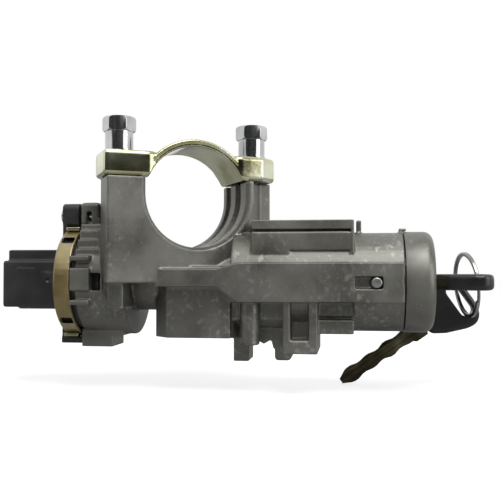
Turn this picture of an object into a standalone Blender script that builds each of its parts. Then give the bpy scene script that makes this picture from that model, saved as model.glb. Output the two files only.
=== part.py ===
"""Steering-column ignition switch with its column clamp, lock cylinder, keys and electrical switch.

The origin is the centre of the column bore. +X runs along the lock axis towards the key, +Y points
away from the driver and +Z points up through the clamp cap. Sizes below are in millimetres, and the
helper functions turn them into Blender's metres.
"""
import math

import bmesh
import bpy
from mathutils import Matrix, Vector

MM = 0.001
GAP = 0.3

# Column clamp, in its own frame: s across the bore, q along the bore, z up
CLAMP_TILT_DEG = 29.0
CLAMP_WIDTH = 29.0
COLUMN_RADIUS = 19.6
GROOVE_DEPTH = 1.5
MOUTH_FLARE = 2.2
CLAMP_SPLIT_Z = 6.0
BOLT_OFFSET = 26.8
POST_OUTER = 34.0
POST_FOOT_Z = -32.6
WEB_EDGE = 13.5
WEB_FOOT_Z = -27.6
RIGHT_POST_FRONT = 3.5
POST_SETBACK = 3.6
RIM_WALL = 2.6
FACE_SETBACK = 0.4
RIGHT_POST_OUTER = 33.4
RIGHT_POST_FOOT_Z = -21.0

# Shear bolts
BOLT_RADIUS = 4.0
BOLT_DEPTH = 22.0
COLLAR_RADIUS = 5.4
COLLAR_HEIGHT = 8.4
HEX_RADIUS = 6.4
HEX_HEIGHT = 5.4

# Clamp cap, a stamped strap with a boss at each bolt
STRAP_THICKNESS = 2.4
STRAP_WIDTH = 24.0
ARCH_DROP = 1.4
EAR_HEIGHT = 9.6
EAR_INNER = 15.6
EAR_OUTER = 37.2
EAR_WIDTH = 25.0
EAR_ROUND = 3.6

# Lock axis and housing barrel
LOCK_Z = -32.4
DRUM_LEFT = -38.0
DRUM_RIGHT = -19.5
DRUM_RADIUS = 20.3
NECK_RADIUS = 11.0
BARREL_LEFT = 19.5
BARREL_RIGHT = 82.0
BARREL_RADIUS = 18.4
BAND_HALF = 7.1
BAND_FRONT = 20.2
BAND_BACK = 5.3
BAND_SETBACK = 0.4
STRIP_HALF = 3.2
STRIP_LEFT = -8.0
STRIP_RISE = 1.7
FLARE_LEFT = 15.0
FLARE_RIGHT = 22.6

# Upper block beside the barrel, for the key warning switch
BLOCK_LEFT = 27.0
BLOCK_RIGHT = 64.2
BLOCK_TOP = -9.7
BLOCK_FOOT = -24.2
BLOCK_FRONT = 15.5
BLOCK_BACK = 8.0
BLOCK_LEDGE = 3.4
BLOCK_STEP = 1.2

BLOCK_RECESS_LEFT = 41.0
BLOCK_RECESS_TOP = -20.8
BLOCK_RECESS_DEPTH = 2.4
BLOCK_RIB = 1.4
REAR_TAB_LEFT = 65.0
REAR_TAB_RIGHT = 66.9
REAR_TAB_TOP = -9.3
REAR_TAB_HALF = 1.4

# Bolt box under the column bore
BOX_LEFT = -10.0
BOX_RIGHT = 21.6
BOX_FRONT = 14.6
BOX_BACK = 16.0
BOX_CORNER = 5.4
BOX_FOOT = -53.0

# Lower bosses between the bolt box and the key end
ROUND_BOSS_X = 26.0
ROUND_BOSS_RADIUS = 3.3
ROUND_BOSS_FOOT = -55.4
SOCKET_LEFT = 38.8
SOCKET_RIGHT = 51.2
SOCKET_FOOT = -58.0
SOCKET_FRONT = 18.2
SOCKET_BACK = 8.0
SOCKET_WALL = 2.6
SOCKET_WINDOW_TOP = -39.4
SOCKET_WINDOW_FOOT = -53.2
SOCKET_DEPTH = 7.0
EAR_FOOT = -61.8
LEFT_EAR_START = 19.6
LEFT_EAR_END = 25.4
LEFT_EAR_FRONT = 9.0
RIGHT_EAR_START = 34.6
RIGHT_EAR_END = 40.8
RIGHT_EAR_FRONT = 6.0
SKIRT_WIDTH = 14.0
POCKET_FOOT = -45.2
POCKET_RIGHT = 64.0
POCKET_DEPTH = 15.6

# Upper screw lug of the switch drum
LUG_HALF_WIDTH = 5.4
LUG_LEFT = -41.6
LUG_RIGHT = -33.6
LUG_ROUND = 3.2
LUG_SLOT_LEFT = -38.8
LUG_SLOT_WIDTH = 2.0
LUG_SLOT_HEIGHT = 5.8

# Steps, fins and boss on the front of the switch drum
TERRACE_RIGHT = -29.2
TERRACE_TOP = -12.9
TERRACE_RISE = 3.6
TERRACE_FRONT = 13.6
TERRACE_STEP = 2.0
FIN_FRONT = 21.6
FIN_RIGHT = -32.2
FIN_HALF = 0.9
UPPER_FIN_Z = -23.6
LOWER_FIN_Z = -39.9
PAD_FRONT = 21.2
PAD_TOP = -27.2
PAD_FOOT = -35.6
SHOULDER_RIGHT = -26.8
SHOULDER_FRONT = 17.4
SHOULDER_TOP = -20.0
SHOULDER_FOOT = -41.0
PEG_LEFT = -26.2
PEG_RIGHT = -21.5
PEG_FRONT = 19.4
PEG_TOP = -32.0
PEG_FOOT = -42.0
REAR_BOSS_LEFT = -39.4
REAR_BOSS_RIGHT = -22.8
REAR_BOSS_FRONT = 8.2
REAR_BOSS_BACK = 6.0
REAR_BOSS_FOOT = -57.2
DRUM_POCKET_RIGHT = -28.4
DRUM_POCKET_TOP = -29.0
DRUM_POCKET_DEPTH = 15.0

# Lock cylinder
SLEEVE_RADIUS = 14.8
SLEEVE_LEFT = 40.0
PLUG_RADIUS = 8.0
PLUG_LEFT = 44.0
LOCK_CAP_RADIUS = 18.7
LOCK_CAP_LENGTH = 10.6
LOCK_CAP_ROUND = 3.2
LOCK_CAP_WALL = 2.2
PLUG_FACE_RADIUS = 10.4
RETAINING_PIN_RADIUS = 1.9
RETAINING_PIN_X = 72.0
PIN_SLOT_LEFT = 64.4
WAFER_COUNT = 6
WAFER_PITCH = 3.6
WAFER_FIRST_X = 62.0
WAFER_THICKNESS = 1.4

# Keys and key ring
BLADE_WIDTH = 8.0
BLADE_THICKNESS = 2.2
BLADE_REACH = 40.0
BLADE_SEAT = 9.0
TANG_WIDTH = 5.7
HEAD_HALF_OUTLINE = [(0, 4.4), (5.0, 7.4), (13.5, 10.9), (21.5, 10.5)]
HEAD_THICKNESS = 5.9
HEAD_ROUND = 3.4
HEAD_SOFT_EDGE = 1.3
KEY_HOLE_START = 12.8
KEY_HOLE_END = 19.1
KEY_HOLE_HALF = 7.2
KEY_HOLE_ROUND = 2.0
RING_CENTRE = (107.35, 13.36, -33.75)
RING_RADIUS = 12.0
RING_WIRE = 0.9
RING_YAW_DEG = 12.2
RING_LEAN_DEG = 5.9
SPARE_SEAT = (91.59, -49.54)
SPARE_Y = 20.1
SPARE_ANGLE_DEG = 35.2

# Drive shaft and steering lock bolt
SHAFT_RADIUS = 4.0
SHAFT_LEFT = -39.0
CAM_RADIUS = 4.7
LOCK_BOLT_WIDTH = 8.0
LOCK_BOLT_THICKNESS = 6.0
LOCK_BOLT_Y = 8.65
LOCK_BOLT_TOP = -20.8
LOCK_BOLT_FOOT = -46.0
COVER_THICKNESS = 1.5
COVER_EDGE = 2.2

# Electrical switch
RETAINER_LEFT = -46.5
RETAINER_RIGHT = -40.0
RETAINER_RADIUS = 21.0
RETAINER_WALL = 1.6
UPPER_WINDOW_RISE = 15.7
LOWER_WINDOW_DROP = 14.5
WINDOW_HALF = 1.1
WINDOW_SETBACK = 8.0
SWITCH_FLANGE_LEFT = -47.0
SPIGOT_RADIUS = 16.4
SPIGOT_RIGHT = -30.0
SPIGOT_WALL = 2.0
CONNECTOR_LEFT = -70.4
CONNECTOR_TOP = -24.3
CONNECTOR_FOOT = -42.2
CONNECTOR_HALF_WIDTH = 11.0
CONNECTOR_WALL = 1.8
CONNECTOR_DEPTH = 17.0
RAIL_TOP = -20.1
RAIL_HALF_WIDTH = 8.0
ROTOR_RADIUS = 12.0
ROTOR_LEFT = -40.7
ROTOR_RIGHT = -36.0
WELL_FLOOR = -42.0
TONGUE_HALF = 1.5
TERMINAL_COLUMNS = 3
TERMINAL_ROWS = 2
TERMINAL_PITCH = 6.0
TERMINAL_WIDTH = 2.4
TERMINAL_THICKNESS = 0.8
TERMINAL_RIGHT = -44.0
SWITCH_EAR_CLEARANCE = 0.4
SWITCH_EAR_HEIGHT = 9.0
SWITCH_EAR_LEFT = -48.6
SWITCH_EAR_RIGHT = -41.9
SWITCH_EAR_HALF_WIDTH = 5.6
SWITCH_BRIDGE_RIGHT = -46.8
SWITCH_TONGUE_THICKNESS = 2.4
SWITCH_TONGUE_RIGHT = -39.7
SWITCH_SCREW_RADIUS = 1.9
SWITCH_SCREW_RISE = 4.4
SWITCH_SCREW_END = -37.4

HALF_CLAMP = CLAMP_WIDTH / 2
CAP_FOOT_Z = CLAMP_SPLIT_Z + GAP
EAR_TOP_Z = CAP_FOOT_Z + EAR_HEIGHT
LOCK_CAP_RIGHT = BARREL_RIGHT + GAP + LOCK_CAP_LENGTH
HEAD_LEFT = LOCK_CAP_RIGHT + GAP
BLADE_LEFT = HEAD_LEFT - BLADE_REACH
FLANGE_RIGHT = DRUM_LEFT - 0.1
FLANGE_SEAT = DRUM_LEFT + 0.2
SWITCH_EAR_SPLIT = LOCK_Z + RETAINER_RADIUS + SWITCH_EAR_CLEARANCE
SWITCH_EAR_TOP = SWITCH_EAR_SPLIT + SWITCH_EAR_HEIGHT
SWITCH_SCREW_Z = SWITCH_EAR_SPLIT + SWITCH_SCREW_RISE
SWITCH_TONGUE_TOP = LOCK_Z - RETAINER_RADIUS - SWITCH_EAR_CLEARANCE
SWITCH_TONGUE_FOOT = SWITCH_TONGUE_TOP - SWITCH_TONGUE_THICKNESS


def clear_scene():
    for obj in list(bpy.data.objects):
        bpy.data.objects.remove(obj)


def make_collection(name):
    collection = bpy.data.collections.new(name)
    bpy.context.scene.collection.children.link(collection)
    return collection


clear_scene()
PARTS = make_collection("ignition_switch")
TOOLS = make_collection("cutters")


def clamp_empty():
    """The clamp frame: an empty turned about +Z, so that its Y axis is the column axis."""
    empty = bpy.data.objects.new("clamp_frame", None)
    empty.rotation_euler = (0, 0, math.radians(CLAMP_TILT_DEG))
    TOOLS.objects.link(empty)
    bpy.context.view_layer.update()
    return empty


CLAMP = clamp_empty()


def material(name, color, roughness, metallic):
    mat = bpy.data.materials.get(name)
    if mat is None:
        mat = bpy.data.materials.new(name)
        mat.use_nodes = True
        shader = mat.node_tree.nodes["Principled BSDF"]
        shader.inputs["Base Color"].default_value = (*color, 1)
        shader.inputs["Roughness"].default_value = roughness
        shader.inputs["Metallic"].default_value = metallic
        mat.diffuse_color = (*color, 1)
    return mat


CAST = ("die_cast_grey", (0.16, 0.16, 0.14), 0.5, 0.85)
ZINC = ("yellow_zinc", (0.55, 0.52, 0.33), 0.25, 1.0)
STEEL = ("bright_steel", (0.62, 0.62, 0.63), 0.22, 1.0)
BLACK = ("black_plastic", (0.02, 0.02, 0.022), 0.45, 0.0)
TAN = ("passivated_ring", (0.33, 0.28, 0.15), 0.4, 0.7)
BRASS = ("brass", (0.62, 0.48, 0.22), 0.3, 1.0)
KEY_METAL = ("key_metal", (0.17, 0.15, 0.11), 0.4, 1.0)
RING_METAL = ("ring_metal", (0.35, 0.35, 0.34), 0.3, 1.0)
NYLON = ("nylon", (0.6, 0.6, 0.57), 0.5, 0.0)


def finish(obj, spec):
    """Make an object a visible part with its own material."""
    obj.data.materials.clear()
    obj.data.materials.append(material(*spec))
    return obj


def new_object(name, mesh, parent=None):
    obj = bpy.data.objects.new(name, mesh)
    PARTS.objects.link(obj)
    obj.parent = parent
    return obj


def mesh_from(bm, name):
    bmesh.ops.recalc_face_normals(bm, faces=bm.faces)
    mesh = bpy.data.meshes.new(name)
    bm.to_mesh(mesh)
    bm.free()
    return mesh


def box(name, low, high, parent=None, bevel=0.0):
    """A block between two corners; an optional bevel rounds its edges."""
    size = Vector(high) - Vector(low)
    centre = (Vector(high) + Vector(low)) / 2
    bm = bmesh.new()
    bmesh.ops.create_cube(bm, size=1, matrix=Matrix.Diagonal((*(size * MM), 1)))
    obj = new_object(name, mesh_from(bm, name), parent)
    obj.location = centre * MM
    if bevel:
        mod = obj.modifiers.new("rounded_edges", "BEVEL")
        mod.width = bevel * MM
        mod.segments = 2
    return obj


AXIS_TURN = {
    "X": Matrix.Rotation(math.radians(90), 4, "Y"),
    "Y": Matrix.Rotation(math.radians(-90), 4, "X"),
    "Z": Matrix.Identity(4),
}


def rod(name, radius, start, length, axis="X", sides=32, parent=None, end_radius=None):
    """A cylinder or cone that starts at a point and runs along +X, +Y or +Z."""
    bm = bmesh.new()
    lift = Matrix.Translation((0, 0, length * MM / 2))
    top = radius if end_radius is None else end_radius
    bmesh.ops.create_cone(bm, cap_ends=True, segments=sides, radius1=radius * MM, radius2=top * MM,
                          depth=length * MM, matrix=AXIS_TURN[axis] @ lift)
    obj = new_object(name, mesh_from(bm, name), parent)
    obj.location = Vector(start) * MM
    obj.data.shade_smooth()
    obj.data.set_sharp_from_angle(angle=math.radians(35))
    return obj


def turned(name, profile, sides=48, axis="X", centre=(0, 0, 0), parent=None, closed=False):
    """Screw a profile of (along, radius) points, listed from the far end to the near end."""
    bm = bmesh.new()
    verts = [bm.verts.new((r * MM, 0, a * MM)) for a, r in profile]
    for first, second in zip(verts, verts[1:]):
        bm.edges.new((first, second))
    if closed:
        bm.edges.new((verts[-1], verts[0]))
    mesh = bpy.data.meshes.new(name)
    bm.to_mesh(mesh)
    bm.free()
    obj = new_object(name, mesh, parent)
    obj.matrix_local = Matrix.Translation(Vector(centre) * MM) @ AXIS_TURN[axis]
    screw = obj.modifiers.new("turn", "SCREW")
    screw.steps = sides
    screw.render_steps = sides
    screw.use_merge_vertices = True
    screw.merge_threshold = 0.00001
    screw.use_smooth_shade = True
    return obj


def plate(name, outline, thickness, plane="front", offset=0.0, parent=None):
    """Extrude a flat outline. plane front takes (x, z) and runs along Y; top takes (x, y), along Z;
    side takes (y, z), along X. offset is the middle of the thickness."""
    curve = bpy.data.curves.new(name, "CURVE")
    curve.dimensions = "2D"
    curve.fill_mode = "BOTH"
    curve.extrude = thickness * MM / 2
    spline = curve.splines.new("POLY")
    spline.points.add(len(outline) - 1)
    for point, (u, v) in zip(spline.points, outline):
        point.co = (u * MM, v * MM, 0, 1)
    spline.use_cyclic_u = True
    temp = bpy.data.objects.new(name, curve)
    PARTS.objects.link(temp)
    bpy.context.view_layer.update()
    shape = temp.evaluated_get(bpy.context.evaluated_depsgraph_get())
    mesh = bpy.data.meshes.new_from_object(shape)
    bpy.data.objects.remove(temp)
    turn = {
        "front": Matrix.Rotation(math.radians(90), 4, "X"),
        "top": Matrix.Identity(4),
        "side": Matrix(((0, 0, 1, 0), (1, 0, 0, 0), (0, 1, 0, 0), (0, 0, 0, 1))),
    }[plane]
    shift = {"front": (0, offset, 0), "top": (0, 0, offset), "side": (offset, 0, 0)}[plane]
    bm = bmesh.new()
    bm.from_mesh(mesh)
    bmesh.ops.remove_doubles(bm, verts=bm.verts, dist=0.000001)
    bpy.data.meshes.remove(mesh)
    obj = new_object(name, mesh_from(bm, name), parent)
    obj.matrix_local = Matrix.Translation(Vector(shift) * MM) @ turn
    return obj


def loft_along_y(name, sections, parent=None):
    """Join outlines of (x, z) points, each with its own place along Y, into one closed solid."""
    bm = bmesh.new()
    rings = []
    for y, outline in sections:
        rings.append([bm.verts.new((x * MM, y * MM, z * MM)) for x, z in outline])
    for near, far in zip(rings, rings[1:]):
        count = len(near)
        for i in range(count):
            j = (i + 1) % count
            bm.faces.new((near[i], near[j], far[j], far[i]))
    bm.faces.new(rings[0])
    bm.faces.new(rings[-1])
    return new_object(name, mesh_from(bm, name), parent)


def use_tool(target, tool, operation):
    mod = target.modifiers.new(tool.name, "BOOLEAN")
    mod.operation = operation
    mod.object = tool
    tool.hide_render = True
    tool.display_type = "WIRE"
    PARTS.objects.unlink(tool)
    TOOLS.objects.link(tool)
    return target


def add(target, *tools):
    for tool in tools:
        use_tool(target, tool, "UNION")
    return target


def cut(target, *tools):
    for tool in tools:
        use_tool(target, tool, "DIFFERENCE")
    return target


def arc(radius, start_deg, end_deg, steps, centre=(0, 0)):
    points = []
    for i in range(steps + 1):
        angle = math.radians(start_deg + (end_deg - start_deg) * i / steps)
        points.append((centre[0] + radius * math.cos(angle), centre[1] + radius * math.sin(angle)))
    return points


def round_corners(corners, radius, steps=3):
    """Replace each corner of a convex or concave outline by an arc tangent to both its sides."""
    outline = []
    count = len(corners)
    for i in range(count):
        before = Vector(corners[i - 1])
        here = Vector(corners[i])
        after = Vector(corners[(i + 1) % count])
        into = (before - here).normalized()
        out = (after - here).normalized()
        half = into.angle(out) / 2
        reach = radius / math.tan(half)
        middle = here + (into + out).normalized() * (radius / math.sin(half))
        first = here + into * reach - middle
        last = here + out * reach - middle
        for k in range(steps + 1):
            spoke = first.lerp(last, k / steps)
            outline.append(tuple(middle + spoke.normalized() * radius))
    return outline


# Housing

def barrel():
    """The turned core of the casting: switch drum, neck and lock barrel."""
    profile = [
        (BARREL_RIGHT, 0), (BARREL_RIGHT, BARREL_RADIUS), (BARREL_LEFT, BARREL_RADIUS),
        (BARREL_LEFT, NECK_RADIUS), (DRUM_RIGHT, NECK_RADIUS), (DRUM_RIGHT, DRUM_RADIUS),
        (DRUM_LEFT, DRUM_RADIUS), (DRUM_LEFT, 0),
    ]
    return turned("lock_housing", profile, sides=56, centre=(0, 0, LOCK_Z))


def clamp_web():
    """Left post and the web under the column bore, as one thick outline in the clamp frame."""
    outline = [
        (-POST_OUTER, CLAMP_SPLIT_Z), (-POST_OUTER, POST_FOOT_Z), (-12.4, POST_FOOT_Z),
        (-12.4, WEB_FOOT_Z), (WEB_EDGE, WEB_FOOT_Z), (WEB_EDGE, -6.0), (-6.0, CLAMP_SPLIT_Z),
    ]
    return plate("clamp_web", outline, CLAMP_WIDTH, parent=CLAMP)


def right_post():
    """Right post: set back from the bore's rim, with its front corner cut back to the bolt boss."""
    front = -HALF_CLAMP + POST_SETBACK
    back = HALF_CLAMP - FACE_SETBACK
    outline = [
        (10.0, front), (COLUMN_RADIUS + RIM_WALL, front), (BOLT_OFFSET + 2.8, -RIGHT_POST_FRONT),
        (RIGHT_POST_OUTER, -RIGHT_POST_FRONT), (RIGHT_POST_OUTER, 7.0), (BOLT_OFFSET, back),
        (10.0, back),
    ]
    height = CLAMP_SPLIT_Z - RIGHT_POST_FOOT_Z
    middle = (CLAMP_SPLIT_Z + RIGHT_POST_FOOT_Z) / 2
    return plate("right_post", outline, height, "top", middle, parent=CLAMP)


def bore_rim():
    """Rim that follows the right side of the bore and stands in front of the right post."""
    rim = COLUMN_RADIUS + RIM_WALL
    inside = COLUMN_RADIUS - 4
    outline = [(inside, CLAMP_SPLIT_Z)] + [(rim, CLAMP_SPLIT_Z)] + arc(rim, 0, -50, 12)
    outline += arc(inside, -50, 0, 8)
    return plate("bore_rim", outline, CLAMP_WIDTH - FACE_SETBACK / 2, parent=CLAMP)


def bore_outline(radius):
    """A half round with straight walls up past the clamp's split."""
    top = CLAMP_SPLIT_Z + 20
    return [(radius, top)] + arc(radius, 0, -180, 26) + [(-radius, top)]


def column_bore():
    """The grooved bore, lofted through its lands and grooves and flared past both faces."""
    land = COLUMN_RADIUS
    groove = COLUMN_RADIUS + GROOVE_DEPTH
    mouth = COLUMN_RADIUS + MOUTH_FLARE
    half = HALF_CLAMP
    stations = [
        (-half - 2, mouth), (-half * 0.86, land), (-half * 0.47, land), (-half * 0.46, groove),
        (-half * 0.08, groove), (-half * 0.07, land), (half * 0.32, land), (half * 0.33, groove),
        (half * 0.65, groove), (half * 0.66, land), (half * 0.9, land), (half + 2, mouth),
    ]
    sections = [(q, bore_outline(radius)) for q, radius in stations]
    return loft_along_y("column_bore", sections, parent=CLAMP)


def front_band():
    """Raised band along the barrel's front, narrowing through a flare to the strip."""
    top = LOCK_Z + BAND_HALF
    foot = LOCK_Z - BAND_HALF
    strip_top = LOCK_Z + STRIP_RISE + STRIP_HALF
    strip_foot = LOCK_Z + STRIP_RISE - STRIP_HALF
    end = BARREL_RIGHT - BAND_SETBACK
    outline = [
        (end, top), (FLARE_RIGHT, top), (FLARE_LEFT, strip_top), (STRIP_LEFT, strip_top),
        (STRIP_LEFT, strip_foot), (FLARE_LEFT, strip_foot), (FLARE_RIGHT, foot), (end, foot),
    ]
    return plate("front_band", outline, BAND_FRONT - BAND_BACK, offset=-(BAND_FRONT + BAND_BACK) / 2)


def warning_switch_block():
    block = box("block", (BLOCK_LEFT, -BLOCK_FRONT, BLOCK_FOOT), (BLOCK_RIGHT, BLOCK_BACK, BLOCK_TOP))
    ledge = box("block_ledge", (BLOCK_LEFT - 1, -BLOCK_FRONT - 1, BLOCK_TOP - BLOCK_LEDGE),
                (BLOCK_RIGHT + 1, -BLOCK_FRONT + BLOCK_STEP, BLOCK_TOP + 1))
    recess = box("block_recess", (BLOCK_RECESS_LEFT, -BLOCK_FRONT - 1, BLOCK_FOOT - 1),
                 (BLOCK_RIGHT - BLOCK_RIB, -BLOCK_FRONT + BLOCK_RECESS_DEPTH, BLOCK_RECESS_TOP))
    return cut(block, ledge, recess)


def bolt_box():
    """Box under the bore that holds the steering lock bolt, with its front corners cut off."""
    outline = [
        (BOX_LEFT, BOX_BACK), (BOX_LEFT, -BOX_FRONT + BOX_CORNER), (BOX_LEFT + BOX_CORNER, -BOX_FRONT),
        (BOX_RIGHT - BOX_CORNER / 2, -BOX_FRONT), (BOX_RIGHT, -BOX_FRONT + BOX_CORNER),
        (BOX_RIGHT, BOX_BACK),
    ]
    top = WEB_FOOT_Z + 1
    return plate("bolt_box", outline, top - BOX_FOOT, "top", (top + BOX_FOOT) / 2)


def switch_lug():
    """Upper screw lug of the switch: a rounded block over the retainer, with a foot on the drum."""
    half = LUG_HALF_WIDTH
    top = SWITCH_EAR_TOP + SWITCH_EAR_CLEARANCE
    corners = [(-half, SWITCH_EAR_SPLIT), (half, SWITCH_EAR_SPLIT), (half, top), (-half, top)]
    lug = plate("switch_lug", round_corners(corners, LUG_ROUND), LUG_RIGHT - LUG_LEFT, "side",
                (LUG_RIGHT + LUG_LEFT) / 2)
    foot = box("lug_foot", (DRUM_LEFT + 0.5, -half + 0.2, SWITCH_EAR_SPLIT - 4),
               (LUG_RIGHT - 0.2, half - 0.2, SWITCH_EAR_SPLIT + 3))
    slot = box("lug_slot", (LUG_SLOT_LEFT, -half - 1, SWITCH_EAR_SPLIT - 1),
               (LUG_SLOT_LEFT + LUG_SLOT_WIDTH, half + 1, SWITCH_EAR_SPLIT + LUG_SLOT_HEIGHT))
    return cut(add(lug, foot), slot)


def drum_details():
    """Terraces, fins, centre pad and rear boss on the drum's front."""
    fin_left = RETAINER_RIGHT + GAP
    pieces = []
    for i in range(3):
        top = TERRACE_TOP - i * TERRACE_RISE
        front = TERRACE_FRONT + i * TERRACE_STEP
        pieces.append(box(f"terrace_{i}", (DRUM_LEFT - 0.6, -front, top - TERRACE_RISE - 0.4),
                          (TERRACE_RIGHT, 2, top)))
    for i, z in enumerate((UPPER_FIN_Z, LOWER_FIN_Z)):
        pieces.append(box(f"drum_fin_{i}", (fin_left, -FIN_FRONT, z - FIN_HALF),
                          (FIN_RIGHT, -TERRACE_FRONT + 1.6, z + FIN_HALF)))
    pieces.append(box("drum_pad", (fin_left, -PAD_FRONT, PAD_FOOT), (FIN_RIGHT, -TERRACE_FRONT + 3.6, PAD_TOP)))
    pieces.append(box("drum_shoulder", (FIN_RIGHT - 0.2, -SHOULDER_FRONT, SHOULDER_FOOT),
                      (SHOULDER_RIGHT, -1.7, SHOULDER_TOP)))
    pieces.append(box("drum_peg", (PEG_LEFT, -PEG_FRONT, PEG_FOOT), (PEG_RIGHT, -8, PEG_TOP)))
    pieces.append(box("rear_boss", (REAR_BOSS_LEFT, -REAR_BOSS_FRONT, REAR_BOSS_FOOT),
                      (REAR_BOSS_RIGHT, REAR_BOSS_BACK, REAR_BOSS_FOOT + 11.2)))
    return pieces


def lower_bosses():
    """Round boss, ears and the open socket under the barrel."""
    boss = rod("round_boss", ROUND_BOSS_RADIUS, (ROUND_BOSS_X, -11.4, ROUND_BOSS_FOOT),
               LOCK_Z - ROUND_BOSS_FOOT, "Z", 20)
    ear = box("left_ear", (LEFT_EAR_START, -LEFT_EAR_FRONT, EAR_FOOT), (LEFT_EAR_END, 4.0, -44.0))
    edge = [(24, -42), (24, -52), (30.6, -55.6), (33.4, -54), (34.2, -57.2), (40, -59), (40, -42)]
    skirt = plate("round_skirt", edge, SKIRT_WIDTH, offset=0.6)
    foot = box("right_ear", (RIGHT_EAR_START, -RIGHT_EAR_FRONT, EAR_FOOT),
               (RIGHT_EAR_END, 5.0, -52.0), bevel=1.2)
    shell = box("socket_shell", (SOCKET_LEFT, -SOCKET_FRONT, SOCKET_FOOT),
                (SOCKET_RIGHT, SOCKET_BACK, -36.0))
    window = box("socket_window", (SOCKET_LEFT + SOCKET_WALL, -SOCKET_FRONT - 1, SOCKET_WINDOW_FOOT),
                 (SOCKET_RIGHT - SOCKET_WALL - 0.6, -SOCKET_FRONT + SOCKET_DEPTH, SOCKET_WINDOW_TOP))
    return [boss, ear, skirt, foot, cut(shell, window)]


def drum_cavity():
    """Stepped cavity for the switch: a shallow seat for its flange, then the spigot's bore."""
    flange = RETAINER_RADIUS - RETAINER_WALL
    bore = SPIGOT_RADIUS + GAP
    end = SPIGOT_RIGHT + 1.0
    mouth = RETAINER_RIGHT - 2.0
    profile = [(end, 0), (end, bore), (FLANGE_SEAT, bore), (FLANGE_SEAT, flange), (mouth, flange), (mouth, 0)]
    return turned("drum_cavity", profile, 40, centre=(0, 0, LOCK_Z))


def lock_bore():
    """Wide bore for the lock sleeve and narrow bore for the drive shaft, on one axis."""
    sleeve = SLEEVE_RADIUS + GAP
    shaft = CAM_RADIUS + GAP
    right = BARREL_RIGHT + 2
    step = SLEEVE_LEFT - GAP
    left = SPIGOT_RIGHT - 4
    profile = [(right, 0), (right, sleeve), (step, sleeve), (step, shaft), (left, shaft), (left, 0)]
    return turned("lock_bore", profile, 40, centre=(0, 0, LOCK_Z))


def lock_bolt_channel():
    """Cutters: a square channel for the steering lock bolt and a wider seat for its cover."""
    low = LOCK_BOLT_Y - LOCK_BOLT_THICKNESS / 2 - GAP
    high = LOCK_BOLT_Y + LOCK_BOLT_THICKNESS / 2 + GAP
    half = LOCK_BOLT_WIDTH / 2 + GAP
    seat_top = BOX_FOOT + COVER_THICKNESS + GAP
    channel = box("bolt_channel", (-half, low, BOX_FOOT - 1), (half, high, -14))
    seat = box("cover_seat", (-half - COVER_EDGE, low - COVER_EDGE, BOX_FOOT - 1),
               (half + COVER_EDGE, high + COVER_EDGE, seat_top))
    return [channel, seat]


def housing():
    body = barrel()
    add(body, clamp_web(), right_post(), bore_rim(), front_band(), warning_switch_block())
    add(body, bolt_box(), switch_lug())
    add(body, *drum_details())
    add(body, *lower_bosses())
    add(body, box("rear_tab", (REAR_TAB_LEFT, -REAR_TAB_HALF, LOCK_Z + BARREL_RADIUS - 6),
                  (REAR_TAB_RIGHT, REAR_TAB_HALF, REAR_TAB_TOP)))
    cut(body, column_bore(), drum_cavity(), lock_bore())
    cut(body, *lock_bolt_channel())
    pin_half = RETAINING_PIN_RADIUS + GAP
    cut(body, box("pin_slot", (PIN_SLOT_LEFT, -BAND_FRONT - 1, LOCK_Z - pin_half),
                  (RETAINING_PIN_X + pin_half, -SLEEVE_RADIUS + 0.2, LOCK_Z + pin_half)))
    cut(body, box("lower_pocket", (SOCKET_RIGHT + 0.2, -BAND_FRONT - 1, POCKET_FOOT),
                  (POCKET_RIGHT, -POCKET_DEPTH, LOCK_Z - BAND_HALF + 0.2)))
    cut(body, box("drum_pocket", (FIN_RIGHT - 0.1, -FIN_FRONT - 0.4, PAD_FOOT + 0.1),
                  (DRUM_POCKET_RIGHT, -DRUM_POCKET_DEPTH, DRUM_POCKET_TOP)))
    hole_foot = CLAMP_SPLIT_Z - BOLT_DEPTH - 1
    for side in (-1, 1):
        cut(body, rod(f"post_hole_{side}", BOLT_RADIUS + GAP, (side * BOLT_OFFSET, 0, hole_foot),
                      BOLT_DEPTH + 2, "Z", 24, CLAMP))
    cut(body, rod("lug_hole", SWITCH_SCREW_RADIUS + GAP, (-43, 0, SWITCH_SCREW_Z), 7.4, "X", 16))
    return finish(body, CAST)


# Clamp cap and shear bolts

def clamp_cap():
    """Bent strap over the column with a block-like ear at each bolt."""
    inner = COLUMN_RADIUS + 0.2
    outer = inner + STRAP_THICKNESS
    ear_angle = math.degrees(math.asin((CAP_FOOT_Z + ARCH_DROP) / inner))
    arch = arc(outer, ear_angle, 180 - ear_angle, 28, (0, -ARCH_DROP))
    arch += arc(inner, 180 - ear_angle, ear_angle, 28, (0, -ARCH_DROP))
    cap = plate("clamp_cap", arch, STRAP_WIDTH, parent=CLAMP)
    for side in (-1, 1):
        corners = [
            (side * EAR_INNER, -EAR_WIDTH / 2), (side * EAR_OUTER, -EAR_WIDTH / 2 + 5),
            (side * EAR_OUTER, EAR_WIDTH / 2 - 5), (side * EAR_INNER, EAR_WIDTH / 2),
        ]
        ear = plate(f"ear_{side}", round_corners(corners, EAR_ROUND), EAR_HEIGHT, "top",
                    CAP_FOOT_Z + EAR_HEIGHT / 2, parent=CLAMP)
        add(cap, ear)
    passage = [(inner, -2)] + arc(inner, 0, 180, 28, (0, -ARCH_DROP)) + [(-inner, -2)]
    cut(cap, plate("column_passage", passage, CLAMP_WIDTH + 4, parent=CLAMP))
    for side in (-1, 1):
        cut(cap, rod(f"cap_hole_{side}", BOLT_RADIUS + GAP, (side * BOLT_OFFSET, 0, CAP_FOOT_Z - 1),
                     EAR_HEIGHT + 2, "Z", 24, CLAMP))
    return finish(cap, ZINC)


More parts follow.
